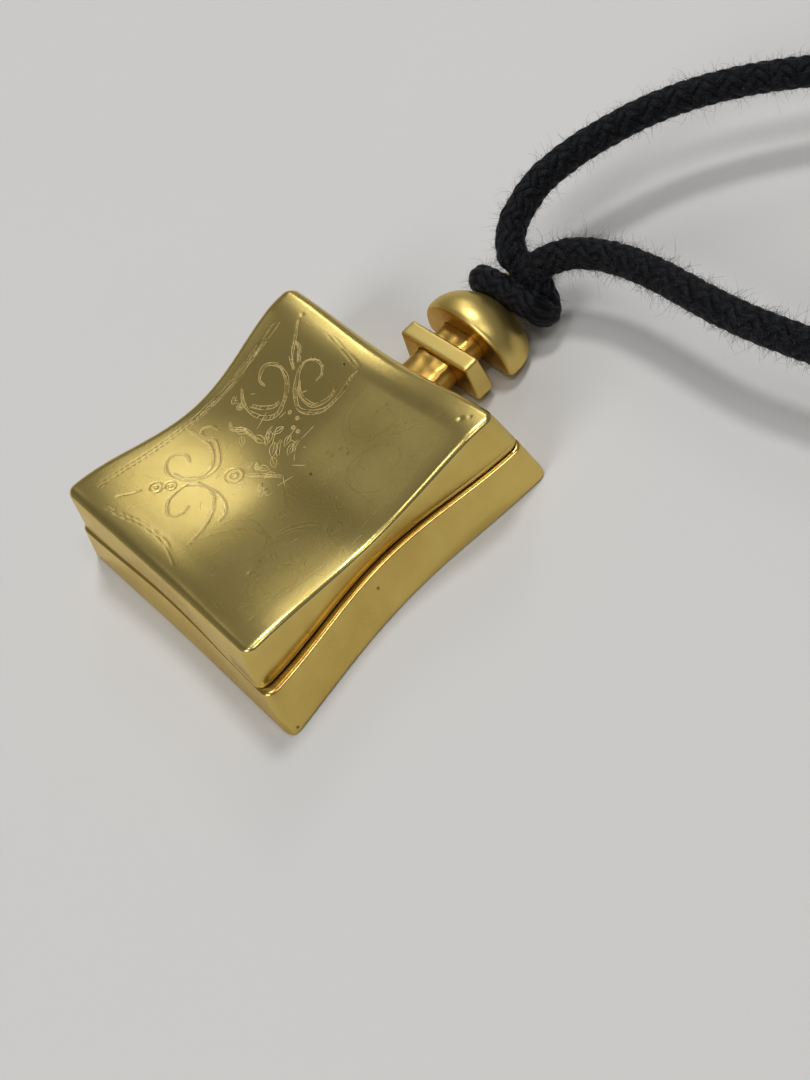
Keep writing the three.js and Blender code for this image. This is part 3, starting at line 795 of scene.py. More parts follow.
engraving = {
    "width": 0.085,          # mm, half a stroke's width
    "bead": 0.16,            # mm across a bead, from its middle
    "strokes": [
        # neck end, hinge side
        [(-4.1, 8.4), (-4.0, 9.2), (-4.5, 9.8), (-5.3, 10), (-6.0, 9.8), (-6.5, 9.2), (-6.4, 8.4), (-6, 7.6),
         (-5.3, 6.6), (-4.5, 5.9), (-3.5, 5.5), (-2.4, 5.9), (-1.6, 6.5), (-1.1, 7.4), (-0.9, 8.5), (-0.9, 9.5),
         (-1.1, 10.5), (-0.9, 11.3)],
        [(-5.6, 7.6), (-4.8, 6.7), (-3.8, 6.4), (-2.6, 6.6), (-1.9, 7.4), (-1.6, 8.3), (-1.8, 9)],
        [(-8.4, 5.3), (-9.3, 5.4), (-9.8, 6.1), (-9.9, 6.7), (-9.5, 7.2), (-8.6, 7.5), (-7.6, 7.3), (-6.7, 6.8),
         (-6, 6), (-5.5, 5), (-5.3, 4.2), (-5.5, 3.5), (-6.3, 2.9), (-7.4, 2.6), (-8.6, 2.7), (-9.5, 3.1), (-10.4, 3.9)],
        [(-6, 5), (-6.2, 4.3), (-7.2, 3.5), (-8.3, 3)],
        [(-10.4, 2.9), (-10.1, 2.3), (-9.7, 2.6)], [(-9.4, 2.7), (-9.1, 2.2), (-8.8, 2.5)],
        [(-10.2, 12), (-8.9, 10), (-8.2, 9), (-6.9, 8)], [(-8.8, 10.2), (-8, 9.9), (-7.0, 8.8)],
        [(-4.8, 2.9), (-4.5, 2.0), (-3.8, 1.5)], [(-3, 2.4), (-2.6, 1.5), (-2, 1)],
        [(-1.5, 3.3), (-1.4, 2.7), (-1, 2.2)], [(-8.6, 0.8), (-8, 0.3), (-7, 0.9), (-5, 1.0)],
        # foot end, hinge side
        [(-8.1, -4.7), (-8.8, -4.4), (-9.5, -4.7), (-9.9, -5.3), (-9.7, -6), (-9, -6.6), (-8, -6.9), (-7, -6.6),
         (-6.2, -6), (-5.6, -5), (-5.5, -4.2), (-5.7, -3.3), (-6.3, -2.6), (-7.6, -1.8), (-8.3, -1.5), (-9, -1.9),
         (-10, -1.9), (-10.3, -1.3), (-9.9, -0.7), (-8.9, -0.5)],
        [(-11.2, -2.3), (-9.5, -2.2), (-8.3, -2.2), (-7.3, -2.6), (-6.5, -3.2), (-6, -4), (-5.9, -4.9), (-6.3, -5.6),
         (-7, -6.2), (-8, -6.5)],
        [(-5.5, -5.6), (-4.6, -5.4), (-3.4, -5.2), (-2.2, -5.3), (-1.2, -5.7), (-0.5, -6.3), (-0.3, -7)],
        [(-5.9, -6.6), (-5.3, -5.9), (-4.2, -5.5), (-3.2, -5.6), (-2.3, -6.2), (-1.5, -7), (-0.9, -8), (-0.4, -9),
         (0, -10.4)],
        [(-6, -6.4), (-6, -7.4), (-5.7, -8.6), (-5, -9.4), (-4, -9.7), (-3.5, -8.8), (-3.8, -7.8)],
        [(-8.5, -9.7), (-8.9, -10.6), (-9.6, -11.6)], [(-3, -2.2), (-1.8, -1.4), (0, -0.2)],
        [(-3.1, -0.6), (-2.7, -1.1), (-2.3, -0.7)], [(-0.9, -2.0), (-0.5, -2.5), (-0.1, -2.1)],
    ],
    "rings": [(-7, -7.6, 0.5), (-7.8, -8.6, 0.6), (-3.7, -3.0, 0.85), (-3.7, -3.0, 0.35)],
    "beads": [(-4.3, 4.8), (-3.2, 4.8), (-2.9, 3.9), (-2.2, 3.9), (-7.0, -7.6), (-7.8, -8.6)],
    "borders": [
        [(-12.2, 10.5), (-12.0, 4), (-12.1, -2), (-12.0, -8), (-12.2, -12)],
        [(-11.8, 10.8), (-11.6, 4), (-11.7, -2), (-11.6, -8), (-11.8, -12.2)],
        [(-9.5, -12.8), (-7.5, -12.4), (-5.5, -11.8), (-3.5, -11.6), (-1.5, -11.7), (1.2, -12.5)],
        [(-9.3, -13.1), (-7.4, -12.75), (-5.4, -12.15), (-3.4, -11.95), (-1.5, -12.05), (1.0, -12.8)],
        [(-6.3, 12.4), (-4, 12), (-1.2, 11.4)], [(-6.2, 12.75), (-4, 12.35), (-1.0, 11.75)],
    ],
    "farSide": 0.17,         # strength of the same pattern turned over on the opening side
}


# Least distance to the line's segments, held below by the best so far; only points near the stroke are worked out
def nearer(best, places, line):
    low, high = line.min(0) - 0.5, line.max(0) + 0.5
    near = np.nonzero(((places > low) & (places < high)).all(1))[0]
    p, found = places[near], best[near]
    for a, b in zip(line[:-1], line[1:]):
        along = b - a
        t = np.clip(((p - a) @ along) / max(along @ along, 1e-9), 0, 1)
        found = np.minimum(found, np.linalg.norm(p - a - t[:, None] * along, axis=1))
    best[near] = found
    return best


# 1 in the middle of a stroke, easing to 0 at its sides, hatched on borders and fainter where the plate is worn
def engravedDepth(x, y):
    reach, far, step = engraving["width"] * 1.6, 9.0, 0.25
    total = np.zeros(len(x))
    lines = [flatPath(s, step) for s in engraving["strokes"]] + [flatRing(*ring, 17) for ring in engraving["rings"]]
    borders = [flatPath(s, step) for s in engraving["borders"]]
    for mirrorX, strength in ((1, 1.0), (-1, engraving["farSide"])):
        places = np.stack([x * mirrorX, y], -1)
        best, edge = np.full(len(x), far), np.full(len(x), far)
        for line in lines:
            best = nearer(best, places, line)
        for bead in engraving["beads"]:
            best = np.minimum(best, np.maximum(np.hypot(*(places - bead).T) - engraving["bead"], 0))
        for line in borders:
            edge = nearer(edge, places, line)
        hatch = 0.55 + 0.45 * np.cos(2 * np.pi * (places[:, 1] + places[:, 0] * 0.4) / 0.62)
        depth = np.maximum(1 - smooth(best / reach), (1 - smooth(edge / reach)) * hatch * 0.8)
        total = np.maximum(total, depth * strength)
    worn = 0.62 + 0.38 * np.sin(x * 0.9 + 1.3 * np.sin(y * 0.55)) * np.cos(y * 0.8 + 0.7 * np.sin(x * 0.7))
    return total * np.clip(worn + 0.12, 0.25, 1)


# Deepest along the middle line, less towards both sides, nothing at the ends, and eased out next to the plate's edge
def quarterDish(u, v, fromMiddle):
    deep = np.clip(1 - np.sqrt(u ** 2 + 0.008), 0, 1) ** 1.2 * np.clip(1 - v ** 4, 0, 1)
    return lid["dish"] * deep * smooth((1 - fromMiddle) / 0.18)


# The plate's height less a drop; w, the share of the way up the lid there, sets the outline and both setbacks
def lidPoint(u, v, drop, corner):
    top = topHeight(u, v)
    z = top - drop
    w = np.clip((z - block["lidZ"]) / (top - block["lidZ"]), 0, 1)
    x, y = roundCorners(*blockPoint(u, v, w, block["seam"], block["top"]), corner)
    footBack = np.maximum(-v, 0) ** 4 * lid["footStep"] * (1 - u) / 2 * (1 - w)
    return x - ledgeDepth(u, v) * (1 - w), y + footBack, z


# A plate, a quarter-round edge, a wall with a scribed line, a flat rim and a well with a roof that follows the plate
def makeLidShell():
    n, m, low, corner = lid["cells"], lid["underCells"], block["lidZ"], block["corner"]
    topX, topY = block["top"]["halfX"], block["top"]["halfY"]
    sheets = []

    def addSheet(x, y, z):
        start = sum(len(s) for s in sheets)
        sheets.append(np.stack([x, y, z + 0 * x], -1))
        return start + np.arange(len(x))

    def edgeAt(u, key):
        return lerp(*lid[key], smooth((u + 0.1) / 1.1))

    def roofHeight(u, v):
        return topHeight(u * block["well"][0] / topX, v * block["well"][1] / topY) - lid["roof"]

    gu, gv = squareGrid(n)
    inset = edgeAt(gu, "edgeIn")
    u, v = gu * (1 - inset / topX), gv * (1 - inset / topY)
    x, y, z = lidPoint(u, v, 0.0, lid["topCorner"])
    depth = engravedDepth(x, y)
    for dentX, dentY, radius, deep in lid["dents"]:
        z = z - deep * np.exp(-((x - dentX) ** 2 + (y - dentY) ** 2) / radius ** 2)
    z = z - quarterDish(u, v, np.maximum(np.abs(gu), np.abs(gv))) - lid["engraving"] * depth
    rings = [addSheet(x, y, z)[gridEdge(n)]]

    ru, rv = squareRing(n)
    topZ = topHeight(ru, rv)
    inset, down = edgeAt(ru, "edgeIn"), edgeAt(ru, "edgeDown")
    for phi in np.linspace(0, np.pi / 2, 11)[1:]:
        d = inset * (1 - np.sin(phi))
        bend = lerp(lid["topCorner"], corner, np.sin(phi))
        point = lidPoint(ru * (1 - d / topX), rv * (1 - d / topY), down * (1 - np.cos(phi)), bend)
        rings.append(addSheet(*point))
    edgeBands = len(rings) - 1
    scribe = lid["scribe"]
    for share in (0.3, 0.6):
        z = lerp(topZ - down, low + scribe + 0.1, share)
        rings.append(addSheet(*lidPoint(ru, rv, topZ - z, corner)))
    for height, inward in ((scribe + 0.1, 0), (scribe, 0.09), (scribe - 0.1, 0), (0.2, 0), (0.06, 0.06), (0, 0.2)):
        inward = inward * lerp(1.0, 0.4, smooth((ru - 0.6) / 0.4))
        u, v = ru * (1 - inward / lid["mouth"][0]), rv * (1 - inward / lid["mouth"][1])
        x, y, z = lidPoint(u, v, topZ - low - height, corner)
        rings.append(addSheet(x, y, low + height))
    faces = [gridFaces(n + 1, n + 1)] + [ringFaces(two, one) for one, two in zip(rings[:-1], rings[1:])]

    cu, cv = squareRing(m)
    ring = addSheet(*wellOutline(cu, cv, 0.15), low)
    faces.append(fineToCoarse(rings[-1], ring)[:, ::-1])
    wallEnd = len(faces)
    roofZ = roofHeight(cu, cv)
    for z, margin in ((low + 0.15, 0.0), (lerp(low + 0.15, roofZ - 0.5, 0.5), 0.0), (roofZ - 0.5, 0.0),
                      (roofZ - 0.15, -0.15), (roofZ, -0.5)):
        above = addSheet(*wellOutline(cu, cv, margin), z)
        faces.append(ringFaces(above, ring))
        ring = above
    hu, hv = squareGrid(m)
    roof = addSheet(*wellOutline(hu, hv, -0.9), roofHeight(hu, hv))
    faces += [ringFaces(roof[gridEdge(m)], ring), gridFaces(m + 1, m + 1, start=roof[0], flip=True)]

    points = np.vstack(sheets)
    cut = np.concatenate([depth, np.zeros(len(points) - len(depth))])
    item = makePiece("lidShell", points, faces, "lid", "satin_gold", satinGold, {"engraving": cut}, ("lid_shell",))
    # the lid's walls take the darker copy of the gold, painted shade
    paint(item, [wallShadedGold], np.concatenate([np.full(len(f), edgeBands < k < wallEnd) for k, f in enumerate(faces)]))
    return item


# A turned piece: rings of a profile of (radius, height) pairs about a line along Z, closed to a pole at each end
def turned(profile, x, y, sides=64):
    radius, height = np.array(profile, float).T[..., None]
    turn = np.arange(sides) * 2 * np.pi / sides
    rings = np.stack([x + radius * np.cos(turn), y + radius * np.sin(turn), height + 0 * turn], -1)
    return cappedStack(rings, (x, y, profile[0][1]), (x, y, profile[-1][1]))


# The same laid along Y: (x, y, z) becomes (x, -z, y)
def turnedAlongY(profile, x, z, sides=64):
    points, faces = turned(profile, x, z, sides)
    points = np.stack([points[:, 0], -points[:, 2], points[:, 1]], -1)
    return points, outward(points, faces)


magnets = {
    "radius": 1.2,           # mm
    "room": 0.05,
    "x": 12.4,
    "y": 13.2,
    "thick": 1.0,
    "low": {"base": 3.5, "lid": 4.65},
    "pocket": {"base": (3.45, 6.0), "lid": (3.0, 5.7)},      # from and to, through the rim
}


def magnetPockets(body):
    radius = magnets["radius"] + magnets["room"]
    profile = [(radius, z) for z in magnets["pocket"][body]]
    return [makeMesh("pocket", *turned(profile, magnets["x"], side * magnets["y"])) for side in (-1, 1)]


base = {
    "cells": 112,
    "rim": 0.12,             # mm, rounding of the upper edge
    "slope": 0.085,          # mm, how much the rim rises towards the lid
    "heel": 0.35,            # mm, rounding of the lower edge
    "groove": 0.07,          # mm deep, under the lid's edge
    "grooveCut": [(0.22, 0.0), (0.30, 0.25), (0.40, 0.85), (0.55, 1.0), (0.75, 0.7), (0.95, 0.15), (1.10, 0.0)],
    "middle": (15.6, 15.8),  # half sizes that an inset is measured against
    "floor": 0.9,
    "tenon": (1.05, 2.65),   # the post's hole: radius and height
}


# The wall between foot and seam, with its foot flared towards the opening side's front corner by a cube of -v
def basePoint(u, v, w, corner):
    x, y = roundCorners(*blockPoint(u, v, w, block["foot"], block["seam"]), corner)
    return x + np.maximum(u, 0) * block["footFlare"] * np.maximum(0, -v) ** 3 * (1 - w), y


# One stack of rings: underside, rounded heel, wall, sloping rim, ledge with its shallow groove, and the well
def makeBaseShell():
    heel, rim, slope, groove, seamZ = base["heel"], base["rim"], base["slope"], base["groove"], block["seamZ"]
    ru, rv = squareRing(base["cells"], 0.35)
    rings = []

    def addRing(x, y, z):
        rings.append(np.stack([x, y, z + 0 * x], -1))

    def ringAt(inward, height):
        u, v = ru * (1 - inward / base["middle"][0]), rv * (1 - inward / base["middle"][1])
        addRing(*basePoint(u, v, height / seamZ, np.maximum(block["corner"] - inward, 0.3)), height)

    ringAt(heel + 0.3, 0.0)
    for phi in np.linspace(0, np.pi / 2, 6):
        ringAt(heel * (1 - np.sin(phi)), heel * (1 - np.cos(phi)))
    for share in (0.33, 0.66):
        ringAt(0, lerp(heel, seamZ - rim - slope, share))
    for phi in np.linspace(0, 1.05, 6):
        ringAt(rim * (1 - np.cos(phi)), seamZ - slope - rim * (1 - np.sin(phi)))
    ringAt(rim + 0.17, seamZ)
    for inward, down in base["grooveCut"]:
        ringAt(rim + inward + ledgeDepth(ru, rv), seamZ - groove * down)
    floor = base["floor"]
    for z, margin in ((seamZ, 0.15), (seamZ - 0.15, 0.0), (2.6, 0.0), (floor + 0.15, 0.0), (floor, -0.12),
                      (floor, -0.3)):
        addRing(*wellOutline(ru, rv, margin), z)
    points, faces = cappedStack(rings, (0, 0, 0), (0, 0, floor))
    # the base takes the darker copy of the gold, painted shade
    item = makePiece("baseShell", points, faces, "base", "polished_gold", wallShadedGold, nodes=("base_shell",))
    lowest = np.concatenate([points[f][..., 2].min(1) for f in faces])
    # faces 1: the rim strip in pale gold, a painted highlight; faces 2: the ledge under the lid's edge in dark gold,
    # painted shade
    paint(item, [palePolishAndRimHighlight, ledgeShadedGold], (lowest > seamZ - 0.25).astype(int) + (lowest > seamZ - groove - 0.001))
    radius, height = base["tenon"]
    hole = makeMesh("tenonHole", *turnedAlongY([(radius, -18.0), (radius, -13.15)], 0, height))
    cutAway(item, magnetPockets("base") + [hole])
    return item


# The plate the other way round: u and v from x and y, by going over both in turn
def plateHeight(x, y):
    top = block["top"]
    u, v = x / top["halfX"], y / top["halfY"]
    for k in range(6):
        u = x / (top["halfX"] - top["side"] * hollow(v))
        v = y / (top["halfY"] - top["end"] * hollow(u))
    return topHeight(u, v) - quarterDish(u, v, np.maximum(np.abs(u), np.abs(v)))


scratchedLines = {
    "width": 0.085,          # mm
    "rise": 0.017,           # mm, the burr beside a cut
    "sink": 0.006,           # mm that its feet stand in the plate
    "step": 0.14,
    "half": 13.1,            # mm, half the square that they stay in
    # lines whose middle lies beyond this x are drawn in the copy painted in shade
    "brightSide": 0.8,       # mm across, where dark lines take over from bright ones
    "strays": 70,
    "seed": 21,
    "leaves": [              # x, y, heading and length
        (-4.6, 2.4, -1.1, 1.5), (-3.4, 1.8, -0.9, 1.6), (-1.7, 2.8, -1.25, 1.3), (-2.4, 0.6, -0.5, 1.3),
        (-7.7, 0.6, 0.2, 1.4), (-5.6, 1.1, 0.1, 1.5), (-2.7, -0.9, 0.4, 1.2), (-0.7, -2.2, -0.7, 1.3),
        (-1.5, -1.2, 0.9, 1.1), (-3.8, 3.4, -1.9, 1.2), (-2.6, 3.2, -1.3, 1.2), (-4.6, -3.9, 2.3, 1.0),
        (-2.8, -3.4, 0.5, 1.0), (-3.6, -1.9, 1.5, 1.0), (-6.6, 0.3, -0.6, 1.1),
    ],
}


def flatNormals(line):
    along = unit(np.gradient(line, axis=0))
    return np.stack([-along[:, 1], along[:, 0]], -1)


# A line beside the stroke at an even distance, with a slow waver, broken into runs
def besideStroke(line, away, rng, keep):
    k, phase = np.arange(len(line)), rng.random(2) * 6.28
    waver = 0.035 * np.sin(k * 0.21 + phase[0]) + 0.02 * np.sin(k * 0.53 + phase[1])
    moved = line + flatNormals(line) * (away + waver)[:, None]
    runs, start = [], 0
    while start < len(line) - 3:
        stop = min(len(line), start + int(rng.integers(8, 34)))
        if rng.random() < keep and stop - start > 3:
            runs.append(moved[start:stop])
        start = stop
    return runs


# A leaf: two bows from base to tip, and a middle vein
def leafLines(x, y, heading, length):
    t = np.linspace(0, 1, 14)
    bow = 0.24 * length * np.sin(np.pi * t ** 0.8)
    ahead, side = np.array([math.cos(heading), math.sin(heading)]), np.array([-math.sin(heading), math.cos(heading)])
    vein = (x, y) + ahead * (t * length)[:, None]
    return [vein + side * bow[:, None], vein - side * bow[:, None], vein[:10]]


# Both sides of each stroke, a few short ticks across it, rings, beads, leaves, hatched borders and stray scratches
def scratchRuns(rng):
    runs = []
    for mirrorX, keep in ((1, 0.93), (-1, 0.3)):
        found = []
        for stroke in engraving["strokes"]:
            line = flatPath(stroke, scratchedLines["step"])
            swell = 0.10 + 0.09 * np.sin(np.pi * np.linspace(0, 1, len(line)))
            for away, share in ((swell, 1), (-swell, 1), (0.0, 0.45)):
                found += besideStroke(line, away, rng, keep * share)
            for k in range(3, len(line) - 2, 3):
                if rng.random() < keep * 0.55:
                    ahead = unit(line[k + 1] - line[k])
                    tilt = np.array([-ahead[1], ahead[0]]) * 0.16 + ahead * 0.1
                    found.append(np.stack([line[k] - tilt, line[k], line[k] + tilt]))
        for ring in engraving["rings"]:
            found += besideStroke(flatRing(*ring, 22), 0.0, rng, keep)
        found += [flatRing(*bead, 0.17, 12) for bead in engraving["beads"]]
        for leaf in scratchedLines["leaves"]:
            if rng.random() < keep + 0.2:
                found += leafLines(*leaf)
        for border in engraving["borders"]:
            line = flatPath(border, scratchedLines["step"])
            for away in (-0.12, 0.0, 0.14):
                found += besideStroke(line, away, rng, keep * 0.8)
        runs += [run * (mirrorX, 1.0) for run in found]
    for k in range(scratchedLines["strays"]):
        place, heading, length = rng.uniform(-12.5, 12.5, 2), rng.random() * np.pi, 0.3 + 1.6 * rng.random() ** 2
        t = np.linspace(0, length, 6)
        runs.append(place + np.stack([t * math.cos(heading), t * math.sin(heading) + 0.04 * t ** 2], -1))
    inside = [run[(np.abs(run) < scratchedLines["half"]).all(1)] for run in runs]
    return [run for run in inside if len(run) >= 3]


# Each run becomes a fine ridge on the plate: three points across, two in the surface and one above it
def makeScratchedLines():
    points, quads, tris, shaded, count = [], [], [], [], 0
    rise, sink = scratchedLines["rise"], scratchedLines["sink"]
    for run in scratchRuns(np.random.default_rng(scratchedLines["seed"])):
        # runs on the opening half get the gold copy painted in shade, the others the copy painted lit
        shade = run[:, 0].mean() > scratchedLines["brightSide"]
        taper = 0.35 + 0.65 * np.sin(np.pi * np.linspace(0.08, 0.92, len(run)))[:, None]
        half = flatNormals(run) * scratchedLines["width"] / 2 * (0.65 if shade else 1.0) * taper
        lines = [(run + half, -sink), (run, rise), (run - half, -sink)]
        rows = [np.column_stack([line, plateHeight(*line.T) + above]) for line, above in lines]
        points.append(np.stack(rows, 1).reshape(-1, 3))
        quads.append(gridFaces(len(run), 3, closeColumns=True, start=count))
        end = count + 3 * (len(run) - 1)
        tris.append(np.array([[count, count + 2, count + 1], [end, end + 1, end + 2]]))
        shaded.append(shade)
        count += 3 * len(run)
    faces = [np.vstack(quads), np.vstack(tris)]
    item = makePiece("lidScratchedLines", np.vstack(points), faces, "lid", "satin_gold", lineLitGold)
    paint(item, [lineShadedGold], np.concatenate([np.repeat(shaded, [len(q) for q in quads]), np.repeat(shaded, 2)]))


lidShell = makeLidShell()
cutAway(lidShell, magnetPockets("lid"))
makeScratchedLines()
sharpen(lidShell, 40)
baseShell = makeBaseShell()
sharpen(baseShell, 40)
print("lid and base made")


def makeMagnets():
    r = magnets["radius"]
    for label, side in (("Foot", -1), ("Neck", 1)):
        for body, low in magnets["low"].items():
            high = low + magnets["thick"]
            lower = [(r - 0.3, low), (r - 0.12, low), (r - 0.03, low + 0.03), (r, low + 0.12)]
            profile = lower + [(radius, high - (z - low)) for radius, z in lower[::-1]]
            points, faces = turned(profile, magnets["x"], side * magnets["y"])
            item = makePiece(body + "Magnet" + label, points, faces, body, "magnet_nickel", magnetNickel,
                             nodes=(body + "_magnet_" + label.lower(),))
            sharpen(item, 50)


tray = {"half": (10.85, 11.35), "corner": 1.35, "wall": 0.45, "low": 0.9, "floor": 1.3, "lip": 5.0}      # mm


# A profile of margins and heights carried round a rounded rectangle: outside, lip, inside and floor
def makeTray():
    wall, low, floor, lip = tray["wall"], tray["low"], tray["floor"], tray["lip"]
    u, v = squareRing(48, 0.4)
    rings = []
    for margin, z in (
        (-0.5, low), (-0.35, low), (-0.1, low + 0.1), (0, low + 0.35), (0, 3.0), (0, lip - 0.15), (-0.06, lip - 0.04),
        (-0.16, lip), (-0.29, lip), (-0.39, lip - 0.04), (-wall, lip - 0.15), (-wall, 3.0), (-wall, floor + 0.4),
        (-wall - 0.12, floor + 0.12), (-wall - 0.4, floor), (-wall - 0.55, floor), (-wall - 2.5, floor),
    ):
        x, y = grown(u, v, tray["half"], tray["corner"], margin)
        rings.append(np.stack([x, y, z + 0 * x], -1))
    points, faces = cappedStack(rings, (0, 0, low), (0, 0, floor))
    sharpen(makePiece("innerTray", points, faces, "base", "polished_gold", trayGold, nodes=("inner_tray",)), 60)


makeMagnets()
makeTray()
print("magnets and tray made")


# The neck

neck = {                     # mm
    "post": dict(halfX=2.5, low=1.2, high=4.1, start=16.12, end=23.6, round=1.1, press=1.0),
    "peg": [(0.9, -16.3), (1.0, -16.2), (1.0, -13.35), (0.88, -13.2)],       # radius, and y turned round
    "collar": dict(y=18.05, depth=2.1, topDepth=1.8, halfX=5.1, topHalfX=4.6, low=0.7, high=4.6, round=0.32),
    "dome": dict(y=22.6, z=0.7, halfX=5.925, halfY=4.4, halfZ=5.8, face=21.7, round=0.42, middle=(0.0, 2.6)),
    "bail": dict(y=29.45, z=2.3, halfX=2.15, halfY=2.95, wire=0.385, slot=0.45),
    "room": 0.05,            # round the post in the holes that it stands in
}


# The surface of a box as a lattice over three lists of numbers, with shared points
def latticeBox(*lists):
    found, quads, at = [], [], 0
    for fixed, a, b in ((0, 1, 2), (1, 2, 0), (2, 0, 1)):
        for end in (0, -1):
            p, q = np.meshgrid(lists[a], lists[b], indexing="ij")
            place = np.zeros(p.shape + (3,))
            place[..., fixed], place[..., a], place[..., b] = lists[fixed][end], p, q
            found.append(place.reshape(-1, 3))
            quads.append(gridFaces(*p.shape, start=at, flip=end == -1))
            at += p.size
    places, where = np.unique(np.round(np.vstack(found), 6), axis=0, return_inverse=True)
    return places, [where.reshape(-1)[np.vstack(quads)]]


# Cuts close together within r of each end, so that a rounded edge has points to bend
def edgeSteps(half, r, middle=8):
    tip = half - r + r * np.sin(np.linspace(0, np.pi / 2, 6))
    return np.concatenate([-tip[::-1], np.linspace(r - half, half - r, middle + 1)[1:-1], tip])


# Each point of a box beyond the inner box is pulled in to a ball of radius r about it
def softBox(places, half, r):
    inner = np.clip(places, -(np.array(half) - r), np.array(half) - r)
    out = places - inner
    far = np.linalg.norm(out, axis=1)[:, None]
    biggest = np.abs(out).max(1)[:, None]
    return inner + out * np.where(far > 1e-9, biggest / np.maximum(far, 1e-9), 0)


# A bar along Y: a box softened across its section only, whose corners are flattened where press is under round
def postBar(grow, start, end, cuts):
    p = neck["post"]
    r, halfX, halfY, halfZ = p["round"], p["halfX"] + grow, (end - start) / 2, (p["high"] - p["low"]) / 2 + grow
    places, faces = latticeBox(edgeSteps(halfX, r), np.linspace(-halfY, halfY, cuts), edgeSteps(halfZ, r, 4))
    points = softBox(places * (1, 0, 1), (halfX, p["press"], halfZ), r)
    points[:, 1] = places[:, 1]
    points = points + (0, (start + end) / 2, (p["low"] + p["high"]) / 2)
    return points, outward(points, faces)


def postHole(start, end):
    return makeMesh("postHole", *postBar(neck["room"], start, end, 3))


# The base's end wall at mid-width, between its foot and its seam
def wallY(z):
    w = z / block["seamZ"]
    foot, seam = block["foot"], block["seam"]
    return lerp(foot["halfY"], seam["halfY"], w) - lerp(foot["end"], seam["end"], w)


# The bar's top is lumpy with two crossing sine waves, its end lies on the wall, and a peg goes through
def makePost():
    p = neck["post"]
    points, faces = postBar(0.0, p["start"], p["end"], 30)
    x, y = points[:, 0], points[:, 1]
    lump = 0.05 * np.sin(y * 2.3 + x * 1.1) + 0.04 * np.sin(x * 2.9 - y * 1.7)
    points[:, 2] -= np.where(points[:, 2] > (p["low"] + p["high"]) / 2, np.abs(lump), 0.0)
    nearWall = points[:, 1] < p["start"] + 1e-6
    points[nearWall, 1] = wallY(points[nearWall, 2])
    pegPoints, pegFaces = turnedAlongY(neck["peg"], 0, base["tenon"][1], 40)
    faces = outward(points, faces) + [f + len(points) for f in pegFaces]
    points = np.vstack([points, pegPoints])
    # the whole post, between block, collar and dome, is in the gold painted in shade
    sharpen(makePiece("neckPost", points, faces, "base", "polished_gold", recessShadedGold, nodes=("neck_post",)), 50)


# Faces that look towards the block get a deeper, more orange gold: painted shade between the parts
def shadeFacesTowardBlock(item):
    normals = np.empty(3 * len(item.data.polygons), np.float32)
    item.data.polygons.foreach_get("normal", normals)
    paint(item, [recessShadedGold], normals[1::3] < -0.8)


# A softened box across the neck that narrows upwards
def makeCollar():
    c = neck["collar"]
    r, half = c["round"], np.array([c["halfX"], c["depth"] / 2, (c["high"] - c["low"]) / 2])
    places, faces = latticeBox(edgeSteps(half[0], r, 24), edgeSteps(half[1], r, 6), edgeSteps(half[2], r, 10))
    points = softBox(places, half, r)
    w = (points[:, 2] + half[2]) / (2 * half[2])
    points[:, 0] *= lerp(1.0, c["topHalfX"] / c["halfX"], w)
    points[:, 1] *= lerp(1.0, c["topDepth"] / c["depth"], w)
    points = points + (0, c["y"] + c["depth"] / 2, (c["low"] + c["high"]) / 2)
    item = makePiece("neckCollar", points, faces, "base", "polished_gold", neckGold, nodes=("neck_collar",))
    shadeFacesTowardBlock(item)
    cutAway(item, [postHole(17.0, 21.5)])
    sharpen(item, 45)


# Half an egg lying on its flat side: its section is an arch on a flat floor with rounded feet,
# scaled down towards the tip as a circle's chord, and cut flat at the face
def makeDome():
    d = neck["dome"]
    r, reach, face, middle = d["round"], d["halfX"] - d["round"], d["face"], np.array(d["middle"])
    arc, foot = np.linspace(0, np.pi, 72), np.linspace(0, np.pi / 2, 7)[1:]
    outX, outZ = np.cos(arc) / d["halfX"], np.sin(arc) / d["halfZ"]
    size = np.hypot(outX, outZ)
    archX, archZ = reach * np.cos(arc) + r * outX / size, r + (d["halfZ"] - 2 * r) * np.sin(arc) + r * outZ / size
    footX, footZ, floorX = reach + r * np.cos(foot), r - r * np.sin(foot), np.linspace(-reach, reach, 26)[1:-1]
    section = np.column_stack([
        np.concatenate([archX, -footX, floorX, footX[::-1]]),
        np.concatenate([archZ, footZ, 0 * floorX, footZ[::-1]]),
    ])

    def beta(y):
        return math.asin((y - d["y"]) / d["halfY"])

    rings = [(middle + (section - middle) * scale * (1 - r / 3.0), face) for scale in (0.35, 0.7)]
    for phi in np.linspace(0, np.pi / 2, 8):
        y = face + r * (1 - math.cos(phi))
        shrunk = section * math.cos(beta(y))
        rings.append((shrunk - unit(shrunk - middle) * r * (1 - math.sin(phi)), y))
    for angle in np.linspace(beta(face + r), np.pi / 2, 44)[1:-1]:
        rings.append((section * math.cos(angle), d["y"] + d["halfY"] * math.sin(angle)))
    stack = [np.column_stack([s[:, 0], np.full(len(s), y), s[:, 1] + d["z"]]) for s, y in rings]
    points, faces = cappedStack(stack, (0, face, middle[1] + d["z"]), (0, d["y"] + d["halfY"], d["z"] + 0.02))
    item = makePiece("stopperDome", points, faces, "base", "polished_gold", neckGold, nodes=("stopper_dome",))
    shadeFacesTowardBlock(item)
    cutAway(item, [postHole(20.5, 23.7), makeMesh("bailSlot", *bailRing(neck["bail"]["slot"], 64, 14))])
    sharpen(item, 45)


